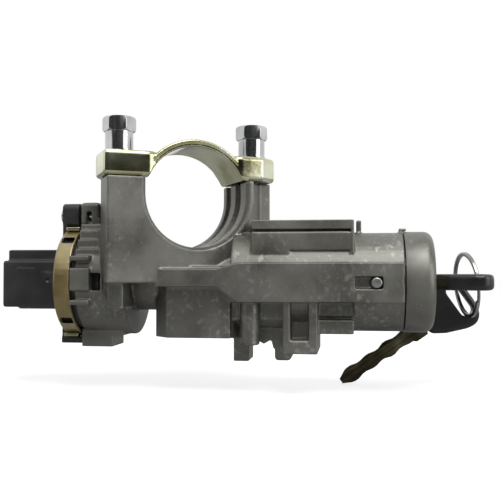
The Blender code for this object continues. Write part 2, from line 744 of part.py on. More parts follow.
def shear_bolt(name, side):
    """Shank, smooth collar and six-sided head on one axis."""
    seat = EAR_TOP_Z + GAP
    profile = [
        (seat + COLLAR_HEIGHT + 1, 0), (seat + COLLAR_HEIGHT + 1, COLLAR_RADIUS - 1),
        (seat + COLLAR_HEIGHT, COLLAR_RADIUS), (seat, COLLAR_RADIUS), (seat, BOLT_RADIUS),
        (CLAMP_SPLIT_Z - BOLT_DEPTH, BOLT_RADIUS - 0.4), (CLAMP_SPLIT_Z - BOLT_DEPTH, 0),
    ]
    bolt = turned(name, profile, 24, "Z", (side * BOLT_OFFSET, 0, 0), CLAMP)
    head = rod(name + "_head", HEX_RADIUS, (side * BOLT_OFFSET, 0, seat + COLLAR_HEIGHT - 0.4),
               HEX_HEIGHT, "Z", 6, CLAMP)
    add(bolt, head)
    return finish(bolt, STEEL)


# Lock cylinder

def lock_cap():
    right = LOCK_CAP_RIGHT
    left = BARREL_RIGHT + GAP
    rim = [(right - LOCK_CAP_ROUND + y, LOCK_CAP_RADIUS - LOCK_CAP_ROUND + x)
           for x, y in arc(LOCK_CAP_ROUND, 90, 0, 5)]
    hole = PLUG_FACE_RADIUS + GAP
    profile = [(right, hole)] + rim + [(left, LOCK_CAP_RADIUS), (left, SLEEVE_RADIUS + GAP * 2)]
    profile += [(right - LOCK_CAP_WALL, SLEEVE_RADIUS + GAP * 2), (right - LOCK_CAP_WALL, hole)]
    return finish(turned("lock_cap", profile, 56, centre=(0, 0, LOCK_Z), closed=True), CAST)


def lock_sleeve():
    right = LOCK_CAP_RIGHT - LOCK_CAP_WALL - GAP
    bore = PLUG_RADIUS + GAP
    profile = [
        (right, PLUG_FACE_RADIUS + GAP), (right, SLEEVE_RADIUS), (SLEEVE_LEFT, SLEEVE_RADIUS),
        (SLEEVE_LEFT, bore), (right - 3 - GAP, bore), (right - 3 - GAP, PLUG_FACE_RADIUS + GAP),
    ]
    sleeve = turned("lock_sleeve", profile, 40, centre=(0, 0, LOCK_Z), closed=True)
    hole = rod("sleeve_pin_hole", RETAINING_PIN_RADIUS + GAP,
               (RETAINING_PIN_X, -SLEEVE_RADIUS - 2, LOCK_Z), 5, "Y", 16)
    return finish(cut(sleeve, hole), STEEL)


def lock_plug():
    """Rotating core with a face disc, a keyway and slots for the wafers."""
    face = LOCK_CAP_RIGHT - 0.8
    shoulder = LOCK_CAP_RIGHT - LOCK_CAP_WALL - 3
    profile = [
        (face, 0), (face, PLUG_FACE_RADIUS), (shoulder, PLUG_FACE_RADIUS), (shoulder, PLUG_RADIUS),
        (PLUG_LEFT, PLUG_RADIUS), (PLUG_LEFT, 0),
    ]
    plug = turned("lock_plug", profile, 32, centre=(0, 0, LOCK_Z))
    half_y, half_z = keyway_half()
    keyway = box("keyway", (BLADE_LEFT - 1, -half_y, LOCK_Z - half_z), (face + 2, half_y, LOCK_Z + half_z))
    cut(plug, keyway)
    for i in range(WAFER_COUNT):
        low, high = wafer_corners(i)
        slot = box(f"wafer_slot_{i}", [v - GAP for v in low], [v + GAP for v in high])
        cut(plug, slot)
    tail_half = TONGUE_HALF + GAP
    tail = box("tail_slot", (PLUG_LEFT - 1, -SHAFT_RADIUS - 2, LOCK_Z - tail_half),
               (PLUG_LEFT + 4, SHAFT_RADIUS + 2, LOCK_Z + tail_half))
    return finish(cut(plug, tail), BRASS)


def keyway_half():
    """Half width and half height of the passage that the blade slides through."""
    return BLADE_WIDTH / 2 + GAP, BLADE_THICKNESS / 2 + GAP


def wafer_corners(index):
    x = WAFER_FIRST_X + index * WAFER_PITCH
    half_y = BLADE_WIDTH / 2 + 1.2
    half_z = PLUG_RADIUS - 3.2
    return (x, -half_y, LOCK_Z - half_z), (x + WAFER_THICKNESS, half_y, LOCK_Z + half_z)


def wafer(index):
    low, high = wafer_corners(index)
    plate_body = box(f"tumbler_wafer_{index + 1}", low, high)
    half_y, half_z = keyway_half()
    window = box(f"wafer_window_{index}", (low[0] - 1, -half_y, LOCK_Z - half_z),
                 (high[0] + 1, half_y, LOCK_Z + half_z))
    return finish(cut(plate_body, window), BRASS)


def retaining_pin():
    length = BAND_FRONT - SLEEVE_RADIUS + 1.0
    pin = rod("retaining_pin", RETAINING_PIN_RADIUS, (RETAINING_PIN_X, -BAND_FRONT, LOCK_Z), length, "Y", 20)
    return finish(pin, STEEL)


# Keys

def key_head(name, frame):
    """Moulded key head: a rounded outline, a slot for the ring and a pocket for the blade."""
    corners = [(x, -y) for x, y in HEAD_HALF_OUTLINE] + list(reversed(HEAD_HALF_OUTLINE))
    head = plate(name, round_corners(corners, HEAD_ROUND, 4), HEAD_THICKNESS, "top", parent=frame)
    soften = head.modifiers.new("soft_edges", "BEVEL")
    soften.width = HEAD_SOFT_EDGE * MM
    soften.segments = 2
    soften.limit_method = "ANGLE"
    soften.angle_limit = math.radians(60)
    slot = [(KEY_HOLE_START, -KEY_HOLE_HALF), (KEY_HOLE_END, -KEY_HOLE_HALF),
            (KEY_HOLE_END, KEY_HOLE_HALF), (KEY_HOLE_START, KEY_HOLE_HALF)]
    hole = plate(name + "_hole", round_corners(slot, KEY_HOLE_ROUND), HEAD_THICKNESS + 4, "top",
                 parent=frame)
    half_y = TANG_WIDTH / 2 + GAP
    half_z = BLADE_THICKNESS / 2 + GAP
    pocket = box(name + "_pocket", (-1, -half_y, -half_z), (BLADE_SEAT + GAP, half_y, half_z), parent=frame)
    return finish(cut(head, hole, pocket), BLACK)


def blade_outline():
    """Double-sided blade: a tang for the head, cuts that repeat along both edges and a pointed tip."""
    half = BLADE_WIDTH / 2
    tip = -BLADE_REACH
    shoulder = -6.0
    tang = TANG_WIDTH / 2
    upper = [(BLADE_SEAT, tang), (-GAP, tang), (-3 * GAP, half), (shoulder, half)]
    depths = [1.0, 1.5, 0.8, 1.7, 1.1, 1.6, 0.9]
    step = (shoulder - (tip + 3.5)) / len(depths)
    for i, depth in enumerate(depths):
        x = shoulder - (i + 0.5) * step
        upper += [(x + step * 0.2, half - depth), (x - step * 0.2, half - depth)]
    upper += [(tip + 3.5, half - 1.2), (tip, 1.0)]
    lower = [(x, -z) for x, z in reversed(upper)]
    return upper + lower


def key_blade(name, frame):
    blade = plate(name, blade_outline(), BLADE_THICKNESS, "top", 0, parent=frame)
    for i, side in enumerate((-1, 1)):
        face = side * BLADE_THICKNESS / 2
        groove = box(f"{name}_groove_{i}", (-BLADE_REACH - 1, -0.9, face - 0.4), (-3, 0.9, face + 0.4),
                     parent=frame)
        cut(blade, groove)
    return finish(blade, KEY_METAL)


def key_frame(name, matrix):
    empty = bpy.data.objects.new(name, None)
    empty.matrix_world = matrix
    TOOLS.objects.link(empty)
    return empty


def ring_axes():
    yaw = math.radians(RING_YAW_DEG)
    lean = math.radians(RING_LEAN_DEG)
    near = Vector((math.sin(yaw), -math.cos(yaw), 0))
    up = Vector((-math.sin(lean), 0, math.cos(lean)))
    normal = near.cross(up).normalized()
    return near, normal.cross(near), normal


def key_ring():
    near, up, normal = ring_axes()
    turn = Matrix((near, up, normal)).transposed().to_4x4()
    bpy.ops.mesh.primitive_torus_add(major_radius=RING_RADIUS * MM, minor_radius=RING_WIRE * MM,
                                     major_segments=40, minor_segments=8)
    obj = bpy.context.active_object
    obj.name = "key_ring"
    obj.matrix_world = Matrix.Translation(Vector(RING_CENTRE) * MM) @ turn
    for collection in list(obj.users_collection):
        collection.objects.unlink(obj)
    PARTS.objects.link(obj)
    return finish(obj, RING_METAL)


def spare_matrix():
    """The spare key lies parallel to the barrel's front, its blade running down behind the lock cap."""
    angle = math.radians(SPARE_ANGLE_DEG)
    along = Vector((math.cos(angle), 0, math.sin(angle)))
    across = Vector((-math.sin(angle), 0, math.cos(angle)))
    turn = Matrix((along, across, along.cross(across))).transposed().to_4x4()
    seat = Vector((SPARE_SEAT[0], SPARE_Y, SPARE_SEAT[1]))
    return Matrix.Translation(seat * MM) @ turn


# Drive shaft and steering lock bolt

def drive_shaft():
    """Shaft with a flat tongue at each end and the round cam that faces the lock bolt."""
    left = SHAFT_LEFT
    right = PLUG_LEFT - GAP
    cam = LOCK_BOLT_WIDTH / 2
    profile = [
        (right, 0), (right, SHAFT_RADIUS), (cam, SHAFT_RADIUS), (cam, CAM_RADIUS - 0.4),
        (-cam, CAM_RADIUS - 0.4), (-cam, SHAFT_RADIUS), (left, SHAFT_RADIUS), (left, 0),
    ]
    shaft = turned("drive_shaft", profile, 20, centre=(0, 0, LOCK_Z))
    reach = SHAFT_RADIUS - 0.5
    tongue = box("shaft_tongue", (right - 1, -reach, LOCK_Z - TONGUE_HALF),
                 (right + 3.6, reach, LOCK_Z + TONGUE_HALF))
    drive = box("rotor_tongue", (WELL_FLOOR + 0.5, -reach, LOCK_Z - TONGUE_HALF),
                (left + 1, reach, LOCK_Z + TONGUE_HALF))
    return finish(add(shaft, tongue, drive), STEEL)


def lock_bolt():
    """Flat bar with a slanted nose that slides up into the column bore."""
    half = LOCK_BOLT_WIDTH / 2
    outline = [(-half, LOCK_BOLT_FOOT), (half, LOCK_BOLT_FOOT), (half, LOCK_BOLT_TOP - 1.4),
               (half - 1.4, LOCK_BOLT_TOP), (-half + 1.4, LOCK_BOLT_TOP), (-half, LOCK_BOLT_TOP - 1.4)]
    bolt = plate("steering_lock_bolt", outline, LOCK_BOLT_THICKNESS, offset=LOCK_BOLT_Y)
    return finish(bolt, STEEL)


def bolt_cover():
    half = LOCK_BOLT_WIDTH / 2 + COVER_EDGE
    reach = LOCK_BOLT_THICKNESS / 2 + COVER_EDGE
    cover = box("bolt_cover", (-half, LOCK_BOLT_Y - reach, BOX_FOOT),
                (half, LOCK_BOLT_Y + reach, BOX_FOOT + COVER_THICKNESS))
    return finish(cover, STEEL)


# Electrical switch

def switch_retainer():
    """Ring that holds the switch to the drum, with two windows in its front."""
    inner = RETAINER_RADIUS - RETAINER_WALL
    profile = [
        (RETAINER_RIGHT, inner), (RETAINER_RIGHT, RETAINER_RADIUS), (RETAINER_LEFT + 0.8, RETAINER_RADIUS),
        (RETAINER_LEFT, RETAINER_RADIUS - 0.8), (RETAINER_LEFT, inner),
    ]
    ring = turned("switch_retainer", profile, 56, centre=(0, 0, LOCK_Z), closed=True)
    for i, z in enumerate((LOCK_Z + UPPER_WINDOW_RISE, LOCK_Z - LOWER_WINDOW_DROP)):
        cut(ring, box(f"retainer_window_{i}", (RETAINER_LEFT + 1.1, -RETAINER_RADIUS, z - WINDOW_HALF),
                      (RETAINER_RIGHT - 0.6, -WINDOW_SETBACK, z + WINDOW_HALF)))
    return finish(ring, TAN)


def switch_body():
    """Moulded switch: spigot in the drum, flange in the retainer, screw ear, tongue and plug socket."""
    flange = RETAINER_RADIUS - RETAINER_WALL - GAP
    well = SPIGOT_RADIUS - SPIGOT_WALL
    profile = [
        (WELL_FLOOR, well), (WELL_FLOOR, 0), (SWITCH_FLANGE_LEFT, 0), (SWITCH_FLANGE_LEFT, flange),
        (FLANGE_RIGHT, flange), (FLANGE_RIGHT, SPIGOT_RADIUS), (SPIGOT_RIGHT, SPIGOT_RADIUS),
        (SPIGOT_RIGHT, well),
    ]
    body = turned("switch_body", profile, 40, centre=(0, 0, LOCK_Z), closed=True)
    inside = SWITCH_FLANGE_LEFT + 2
    half = CONNECTOR_HALF_WIDTH
    connector = box("connector", (CONNECTOR_LEFT, -half, CONNECTOR_FOOT), (inside, half, CONNECTOR_TOP),
                    bevel=0.8)
    rail = box("connector_rail", (CONNECTOR_LEFT + 1.2, -RAIL_HALF_WIDTH, CONNECTOR_TOP - 1),
               (inside, RAIL_HALF_WIDTH, RAIL_TOP))
    lip = box("connector_lip", (CONNECTOR_LEFT + 6, -half + 2, CONNECTOR_FOOT - 0.7),
              (inside, half - 2, CONNECTOR_FOOT + 1))
    add(body, connector, rail, lip, *switch_ears())
    wall = CONNECTOR_WALL
    floor = CONNECTOR_LEFT + CONNECTOR_DEPTH
    cut(body, box("plug_socket", (CONNECTOR_LEFT - 1, -half + wall, CONNECTOR_FOOT + wall),
                  (floor, half - wall, CONNECTOR_TOP - wall)))
    half_y = TERMINAL_WIDTH / 2 + GAP
    half_z = TERMINAL_THICKNESS / 2 + GAP
    for column, row in terminal_places():
        y, z = terminal_centre(column, row)
        cut(body, box(f"terminal_slot_{column}_{row}", (floor - 1, y - half_y, z - half_z),
                      (TERMINAL_RIGHT + GAP, y + half_y, z + half_z)))
    hole_radius = SWITCH_SCREW_RADIUS + GAP
    cut(body, rod("ear_hole", hole_radius, (SWITCH_EAR_LEFT - 1, 0, SWITCH_SCREW_Z), 9, "X", 16))
    return finish(body, BLACK)


def switch_ears():
    """Screw ear above the retainer and locating tongue below it, each on a bridge left of the ring."""
    width = SWITCH_EAR_HALF_WIDTH
    corners = [(-width, SWITCH_EAR_SPLIT), (width, SWITCH_EAR_SPLIT), (width, SWITCH_EAR_TOP),
               (-width, SWITCH_EAR_TOP)]
    middle = (SWITCH_EAR_RIGHT + SWITCH_EAR_LEFT) / 2
    ear = plate("switch_ear", round_corners(corners, 2.2), SWITCH_EAR_RIGHT - SWITCH_EAR_LEFT, "side", middle)
    top_bridge = box("top_bridge", (SWITCH_EAR_LEFT + 0.2, -width + 0.2, -20.0),
                     (SWITCH_BRIDGE_RIGHT, width - 0.2, SWITCH_EAR_SPLIT + 2.5))
    low_bridge = box("low_bridge", (SWITCH_EAR_LEFT + 0.2, -width + 0.2, SWITCH_TONGUE_FOOT + 0.2),
                     (SWITCH_BRIDGE_RIGHT, width - 0.2, -46.0))
    tongue = box("tongue", (SWITCH_EAR_LEFT, -width, SWITCH_TONGUE_FOOT),
                 (SWITCH_TONGUE_RIGHT, width, SWITCH_TONGUE_TOP))
    return [ear, top_bridge, low_bridge, tongue]


def terminal_places():
    return [(column, row) for column in range(TERMINAL_COLUMNS) for row in range(TERMINAL_ROWS)]


def terminal_centre(column, row):
    y = (column - (TERMINAL_COLUMNS - 1) / 2) * TERMINAL_PITCH
    z = (CONNECTOR_TOP + CONNECTOR_FOOT) / 2 + (row - (TERMINAL_ROWS - 1) / 2) * TERMINAL_PITCH
    return y, z


def terminal(column, row):
    y, z = terminal_centre(column, row)
    number = column * TERMINAL_ROWS + row + 1
    half_y = TERMINAL_WIDTH / 2
    half_z = TERMINAL_THICKNESS / 2
    blade = box(f"terminal_{number}", (CONNECTOR_LEFT + 5, y - half_y, z - half_z),
                (TERMINAL_RIGHT, y + half_y, z + half_z))
    return finish(blade, BRASS)


def switch_rotor():
    """Disc in the switch's well that the drive shaft turns."""
    bore = SHAFT_RADIUS + GAP
    profile = [
        (ROTOR_RIGHT, bore), (ROTOR_RIGHT, ROTOR_RADIUS), (ROTOR_LEFT, ROTOR_RADIUS), (ROTOR_LEFT, bore),
    ]
    return finish(turned("switch_rotor", profile, 32, centre=(0, 0, LOCK_Z), closed=True), NYLON)


def switch_screw():
    seat = SWITCH_EAR_LEFT - GAP
    profile = [
        (SWITCH_SCREW_END, 0), (SWITCH_SCREW_END, SWITCH_SCREW_RADIUS), (seat, SWITCH_SCREW_RADIUS),
        (seat, 3.2), (seat - 0.9, 3.2), (seat - 1.6, 2.0), (seat - 1.6, 0),
    ]
    return finish(turned("switch_screw", profile, 20, centre=(0, 0, SWITCH_SCREW_Z)), STEEL)


def build():
    housing()
    clamp_cap()
    shear_bolt("shear_bolt_left", -1)
    shear_bolt("shear_bolt_right", 1)
    lock_cap()
    lock_sleeve()
    lock_plug()
    for index in range(WAFER_COUNT):
        wafer(index)
    retaining_pin()
    key_place = key_frame("key_place", Matrix.Translation(Vector((HEAD_LEFT, 0, LOCK_Z)) * MM))
    spare_place = key_frame("spare_place", spare_matrix())
    bpy.context.view_layer.update()
    key_head("key_head", key_place)
    key_blade("key_blade", key_place)
    key_head("spare_key_head", spare_place)
    key_blade("spare_key_blade", spare_place)
    key_ring()
    drive_shaft()
    lock_bolt()
    bolt_cover()
    switch_retainer()
    switch_body()
    for column, row in terminal_places():
        terminal(column, row)
    switch_rotor()
    switch_screw()


build()
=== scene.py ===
import math

import bpy
from mathutils import Matrix, Vector


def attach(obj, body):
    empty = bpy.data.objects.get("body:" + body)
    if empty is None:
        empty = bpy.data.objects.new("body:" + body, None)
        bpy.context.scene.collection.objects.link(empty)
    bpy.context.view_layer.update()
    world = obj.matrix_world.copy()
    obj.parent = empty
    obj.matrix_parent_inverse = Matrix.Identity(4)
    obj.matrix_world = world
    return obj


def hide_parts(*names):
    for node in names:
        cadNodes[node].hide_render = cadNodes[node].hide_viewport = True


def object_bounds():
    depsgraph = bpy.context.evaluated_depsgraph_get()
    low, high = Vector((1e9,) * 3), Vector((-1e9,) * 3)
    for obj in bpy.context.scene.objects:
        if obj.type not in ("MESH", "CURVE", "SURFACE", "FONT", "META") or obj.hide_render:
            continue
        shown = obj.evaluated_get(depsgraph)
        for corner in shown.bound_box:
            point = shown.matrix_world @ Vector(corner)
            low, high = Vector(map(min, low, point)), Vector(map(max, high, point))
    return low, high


mm = 0.001
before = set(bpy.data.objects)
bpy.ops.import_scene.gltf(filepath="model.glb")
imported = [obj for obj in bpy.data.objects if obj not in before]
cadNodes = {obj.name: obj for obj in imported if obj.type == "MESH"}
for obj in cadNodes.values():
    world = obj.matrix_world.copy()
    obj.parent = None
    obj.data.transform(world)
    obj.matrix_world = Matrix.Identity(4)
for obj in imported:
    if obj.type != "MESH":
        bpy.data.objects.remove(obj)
cadLow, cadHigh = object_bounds()
print("loaded", len(cadNodes), "cad nodes")


# materials, all on object coordinates

noiseSpan = (0.3, 0.7)  # where most of a noise pattern lies


def newMaterial(name):
    mat = bpy.data.materials.new(name)
    mat.use_nodes = True
    nodes = mat.node_tree.nodes
    return mat, nodes, mat.node_tree.links, nodes["Principled BSDF"]


def pattern(nodes, links, scale, detail=4.0, stretch=(1, 1, 1), turn=(0, 0, 0)):
    coord = nodes.new("ShaderNodeTexCoord")
    mapping = nodes.new("ShaderNodeMapping")
    mapping.inputs["Scale"].default_value = stretch
    mapping.inputs["Rotation"].default_value = turn
    links.new(coord.outputs["Object"], mapping.inputs["Vector"])
    noise = nodes.new("ShaderNodeTexNoise")
    noise.inputs["Scale"].default_value = scale
    noise.inputs["Detail"].default_value = detail
    links.new(mapping.outputs["Vector"], noise.inputs["Vector"])
    return noise.outputs["Fac"]


def ramp(nodes, links, source, stops):
    node = nodes.new("ShaderNodeValToRGB")
    while len(node.color_ramp.elements) < len(stops):
        node.color_ramp.elements.new(0.5)
    for element, (spot, colour) in zip(node.color_ramp.elements, stops):
        element.position = spot
        element.color = (*colour, 1)
    links.new(source, node.inputs["Fac"])
    return node.outputs["Color"]


def mask(nodes, links, source, low, high):
    node = nodes.new("ShaderNodeMapRange")
    node.inputs["From Min"].default_value = low
    node.inputs["From Max"].default_value = high
    links.new(source, node.inputs["Value"])
    return node.outputs["Result"]


def multiply(nodes, links, a, b):
    node = nodes.new("ShaderNodeMath")
    node.operation = "MULTIPLY"
    links.new(a, node.inputs[0])
    if isinstance(b, float):
        node.inputs[1].default_value = b
    else:
        links.new(b, node.inputs[1])
    return node.outputs["Value"]


def tint(nodes, links, fac, under, colour):
    mix = nodes.new("ShaderNodeMix")
    mix.data_type = "RGBA"
    links.new(fac, mix.inputs["Factor"])
    colourInputs = [s for s in mix.inputs if s.type == "RGBA"]
    links.new(under, colourInputs[0])
    colourInputs[1].default_value = (*colour, 1)
    return [s for s in mix.outputs if s.type == "RGBA"][0]


def roughness(nodes, links, source, low, high, shader):
    node = nodes.new("ShaderNodeMapRange")
    node.inputs["From Min"].default_value = noiseSpan[0]
    node.inputs["From Max"].default_value = noiseSpan[1]
    node.inputs["To Min"].default_value = low
    node.inputs["To Max"].default_value = high
    links.new(source, node.inputs["Value"])
    links.new(node.outputs["Result"], shader.inputs["Roughness"])


def bumps(nodes, links, shader, *layers):
    last = None
    for source, strength, depth in layers:
        node = nodes.new("ShaderNodeBump")
        node.inputs["Strength"].default_value = strength
        node.inputs["Distance"].default_value = depth * mm
        links.new(source, node.inputs["Height"])
        if last:
            links.new(last.outputs["Normal"], node.inputs["Normal"])
        last = node
    links.new(last.outputs["Normal"], shader.inputs["Normal"])


wornEdge = {"samples": 4, "flat": 0.985, "sharp": 0.9}


def edgeWear(nodes, links, radius):
    # bright where the surface bends sharply
    geometry = nodes.new("ShaderNodeNewGeometry")
    soft = nodes.new("ShaderNodeBevel")
    soft.samples = wornEdge["samples"]
    soft.inputs["Radius"].default_value = radius * mm
    dot = nodes.new("ShaderNodeVectorMath")
    dot.operation = "DOT_PRODUCT"
    links.new(soft.outputs["Normal"], dot.inputs[0])
    links.new(geometry.outputs["Normal"], dot.inputs[1])
    return mask(nodes, links, dot.outputs["Value"], wornEdge["flat"], wornEdge["sharp"])


castLook = {
    "stops": [(0.32, (0.105, 0.103, 0.088)), (0.5, (0.165, 0.162, 0.143)), (0.7, (0.215, 0.212, 0.19))],
    "cloudScale": 60.0,
    "scuff": (0.36, 0.355, 0.33),
    "scuffAreaScale": 38.0,
    "scuffArea": (0.46, 0.64),
    "scuffLineScale": 520.0,
    "scuffLine": (0.54, 0.68),
    "speckScale": 1500.0,
    "speck": (0.68, 0.76),
    "speckStrength": 0.5,
    "worn": (0.33, 0.325, 0.29),
    "wornRadius": 0.5,
    "wornPatches": (0.3, 0.6),
    "grainScale": 900.0,
    "grainStrength": 0.35,
    "waveScale": 170.0,
    "waveStrength": 0.3,
    "waveDepth": 0.15,
    "metallic": 0.6,
    "rough": (0.36, 0.55),
}


def castMaterial(name, scuffs, grainDepth=0.05):
    look = castLook
    mat, nodes, links, shader = newMaterial(name)
    cloud = pattern(nodes, links, look["cloudScale"], 6.0)
    fine = pattern(nodes, links, look["grainScale"], 3.0)
    base = ramp(nodes, links, cloud, look["stops"])
    areas = pattern(nodes, links, look["scuffAreaScale"], 3.0, turn=(0.4, 0.2, 0.9))
    scuffArea = mask(nodes, links, areas, *look["scuffArea"])
    lines = pattern(nodes, links, look["scuffLineScale"], 8.0, (1, 1, 0.8), (0.3, 0.6, 0.1))
    scuffLine = mask(nodes, links, lines, *look["scuffLine"])
    marks = multiply(nodes, links, multiply(nodes, links, scuffArea, scuffLine), scuffs)
    base = tint(nodes, links, marks, base, look["scuff"])
    speck = mask(nodes, links, pattern(nodes, links, look["speckScale"], 1.0), *look["speck"])
    base = tint(nodes, links, multiply(nodes, links, speck, look["speckStrength"]), base, look["scuff"])
    patches = mask(nodes, links, cloud, *look["wornPatches"])
    wear = multiply(nodes, links, edgeWear(nodes, links, look["wornRadius"]), patches)
    base = tint(nodes, links, wear, base, look["worn"])
    links.new(base, shader.inputs["Base Color"])
    shader.inputs["Metallic"].default_value = look["metallic"]
    roughness(nodes, links, cloud, *look["rough"], shader)
    waves = pattern(nodes, links, look["waveScale"], 2.0)
    bumps(nodes, links, shader, (fine, look["grainStrength"], grainDepth),
          (waves, look["waveStrength"], look["waveDepth"]))
    return mat


zincLook = {
    "stops": [  # brown, olive, straw and pale, as yellow passivation runs
        (0.3, (0.1, 0.075, 0.035)), (0.4, (0.3, 0.29, 0.16)),
        (0.52, (0.5, 0.49, 0.31)), (0.7, (0.66, 0.68, 0.52))],
    "cloudScale": 55.0,
    "rough": (0.09, 0.2),
    "waveScale": 190.0,
    "waveStrength": 0.35,
    "waveDepth": 0.12,
    "grainScale": 900.0,
    "grainStrength": 0.15,
    "grainDepth": 0.02,
}


def zincMaterial():
    look = zincLook
    mat, nodes, links, shader = newMaterial("yellowZinc")
    cloud = pattern(nodes, links, look["cloudScale"])
    links.new(ramp(nodes, links, cloud, look["stops"]), shader.inputs["Base Color"])
    shader.inputs["Metallic"].default_value = 1.0
    roughness(nodes, links, cloud, *look["rough"], shader)
    waves = pattern(nodes, links, look["waveScale"], 2.0)
    grain = pattern(nodes, links, look["grainScale"], 2.0)
    bumps(nodes, links, shader, (waves, look["waveStrength"], look["waveDepth"]),
          (grain, look["grainStrength"], look["grainDepth"]))
    return mat


metalLook = {"cloudScale": 70.0, "streakStrength": 0.3, "streakDepth": 0.03}


def metalMaterial(name, stops, rough, scale=260.0, stretch=(1, 1, 1), metallic=1.0):
    mat, nodes, links, shader = newMaterial(name)
    cloud = pattern(nodes, links, metalLook["cloudScale"])
    streak = pattern(nodes, links, scale, stretch=stretch)
    links.new(ramp(nodes, links, cloud, stops), shader.inputs["Base Color"])
    shader.inputs["Metallic"].default_value = metallic
    roughness(nodes, links, streak, *rough, shader)
    bumps(nodes, links, shader, (streak, metalLook["streakStrength"], metalLook["streakDepth"]))
    return mat


plasticLook = {
    "spots": (0.35, 0.7),
    "cloudScale": 80.0,
    "scratchScale": 500.0,
    "scratch": (0.64, 0.72),
    "scratchStrength": 0.5,
    "grainScale": 1800.0,
    "grainStrength": 0.25,
}


def plasticMaterial(name, low, high, rough, grain=0.03):
    look = plasticLook
    mat, nodes, links, shader = newMaterial(name)
    cloud = pattern(nodes, links, look["cloudScale"], 5.0)
    base = ramp(nodes, links, cloud, list(zip(look["spots"], (low, high))))
    lines = pattern(nodes, links, look["scratchScale"], stretch=(0.25, 1, 1), turn=(0.1, 0.5, 0.2))
    scratch = mask(nodes, links, lines, *look["scratch"])
    paler = tuple(c * 3 + 0.02 for c in high)
    base = tint(nodes, links, multiply(nodes, links, scratch, look["scratchStrength"]), base, paler)
    links.new(base, shader.inputs["Base Color"])
    roughness(nodes, links, cloud, *rough, shader)
    fine = pattern(nodes, links, look["grainScale"], 2.0)
    bumps(nodes, links, shader, (fine, look["grainStrength"], grain))
    return mat


def grey(level):
    return (level, level, level)


steelStops = [(0.35, (0.4, 0.41, 0.41)), (0.65, (0.62, 0.63, 0.62))]
pinStops = [(0.35, (0.26, 0.26, 0.25)), (0.65, (0.4, 0.4, 0.38))]
retainerStops = [(0.3, (0.2, 0.15, 0.06)), (0.5, (0.3, 0.24, 0.12)), (0.68, (0.42, 0.36, 0.22))]
brassStops = [(0.35, (0.22, 0.17, 0.08)), (0.65, (0.36, 0.28, 0.14))]
keyStops = [(0.34, (0.035, 0.03, 0.018)), (0.52, (0.09, 0.08, 0.05)), (0.68, (0.24, 0.22, 0.14))]
ringStops = [(0.35, (0.2, 0.2, 0.19)), (0.65, (0.42, 0.42, 0.4))]

materials = {
    "cast": castMaterial("castGrey", 0.7),
    "castSmooth": castMaterial("castCap", 0.3, 0.02),
    "zinc": zincMaterial(),
    "steel": metalMaterial("brightSteel", steelStops, (0.1, 0.22), 900.0, (1, 1, 0.08)),
    "pin": metalMaterial("pinSteel", pinStops, (0.3, 0.5)),
    "plastic": plasticMaterial("mouldedBlack", grey(0.016), grey(0.034), (0.34, 0.5)),
    "keyPlastic": plasticMaterial("keyBlack", grey(0.006), grey(0.011), (0.3, 0.44), 0.015),
    "retainer": metalMaterial("brownPassivated", retainerStops, (0.3, 0.46), metallic=0.7),
    "brass": metalMaterial("plainBrass", brassStops, (0.3, 0.46)),
    "keyMetal": metalMaterial("darkKeySteel", keyStops, (0.24, 0.42), 320.0, (0.15, 1, 1)),
    "ringMetal": metalMaterial("ringSteel", ringStops, (0.2, 0.34)),
    "nylon": plasticMaterial("naturalNylon", (0.55, 0.55, 0.52), (0.65, 0.65, 0.62), (0.4, 0.55)),
}
print("made", len(materials), "materials")


# modelling helpers, all lengths in millimetres

def deselectAll():
    if bpy.context.object and bpy.context.object.mode != "OBJECT":
        bpy.ops.object.mode_set(mode="OBJECT")
    bpy.ops.object.select_all(action="DESELECT")


def makeActive(obj):
    deselectAll()
    obj.select_set(True)
    bpy.context.view_layer.objects.active = obj


def applyModifiers(obj):
    makeActive(obj)
    for name in [m.name for m in obj.modifiers]:
        bpy.ops.object.modifier_apply(modifier=name)


def atOrigin(obj):
    makeActive(obj)
    bpy.ops.object.transform_apply(location=True, rotation=True, scale=True)


def smoothBy(obj, degrees=30):
    makeActive(obj)
    bpy.ops.object.shade_smooth_by_angle(angle=math.radians(degrees))


def give(obj, mat):
    obj.data.materials.clear()
    obj.data.materials.append(mat)


def bevelAll(obj, width, segments):
    makeActive(obj)
    bpy.ops.object.mode_set(mode="EDIT")
    bpy.ops.mesh.select_all(action="SELECT")
    bpy.ops.mesh.bevel(offset=width * mm, segments=segments, affect="EDGES")
    bpy.ops.object.mode_set(mode="OBJECT")


def boxAt(name, low, high, bevel=0.0, segments=2):
    deselectAll()
    size = Vector(high) - Vector(low)
    bpy.ops.mesh.primitive_cube_add(size=1.0, location=(Vector(low) + Vector(high)) / 2 * mm)
    obj = bpy.context.object
    obj.name = name
    obj.scale = size * mm
    atOrigin(obj)
    if bevel:
        bevelAll(obj, bevel, segments)
    return obj


def bevelCaps(obj, width, segments, toward=None):
    # rounds only the rims of the round end faces
    makeActive(obj)
    bpy.ops.object.mode_set(mode="EDIT")
    bpy.ops.mesh.select_mode(type="FACE")
    bpy.ops.mesh.select_all(action="DESELECT")
    bpy.ops.object.mode_set(mode="OBJECT")
    for face in obj.data.polygons:
        face.select = len(face.vertices) > 5 and (toward is None or face.normal.dot(Vector(toward)) > 0.9)
    bpy.ops.object.mode_set(mode="EDIT")
    bpy.ops.mesh.bevel(offset=width * mm, segments=segments, affect="EDGES")
    bpy.ops.object.mode_set(mode="OBJECT")


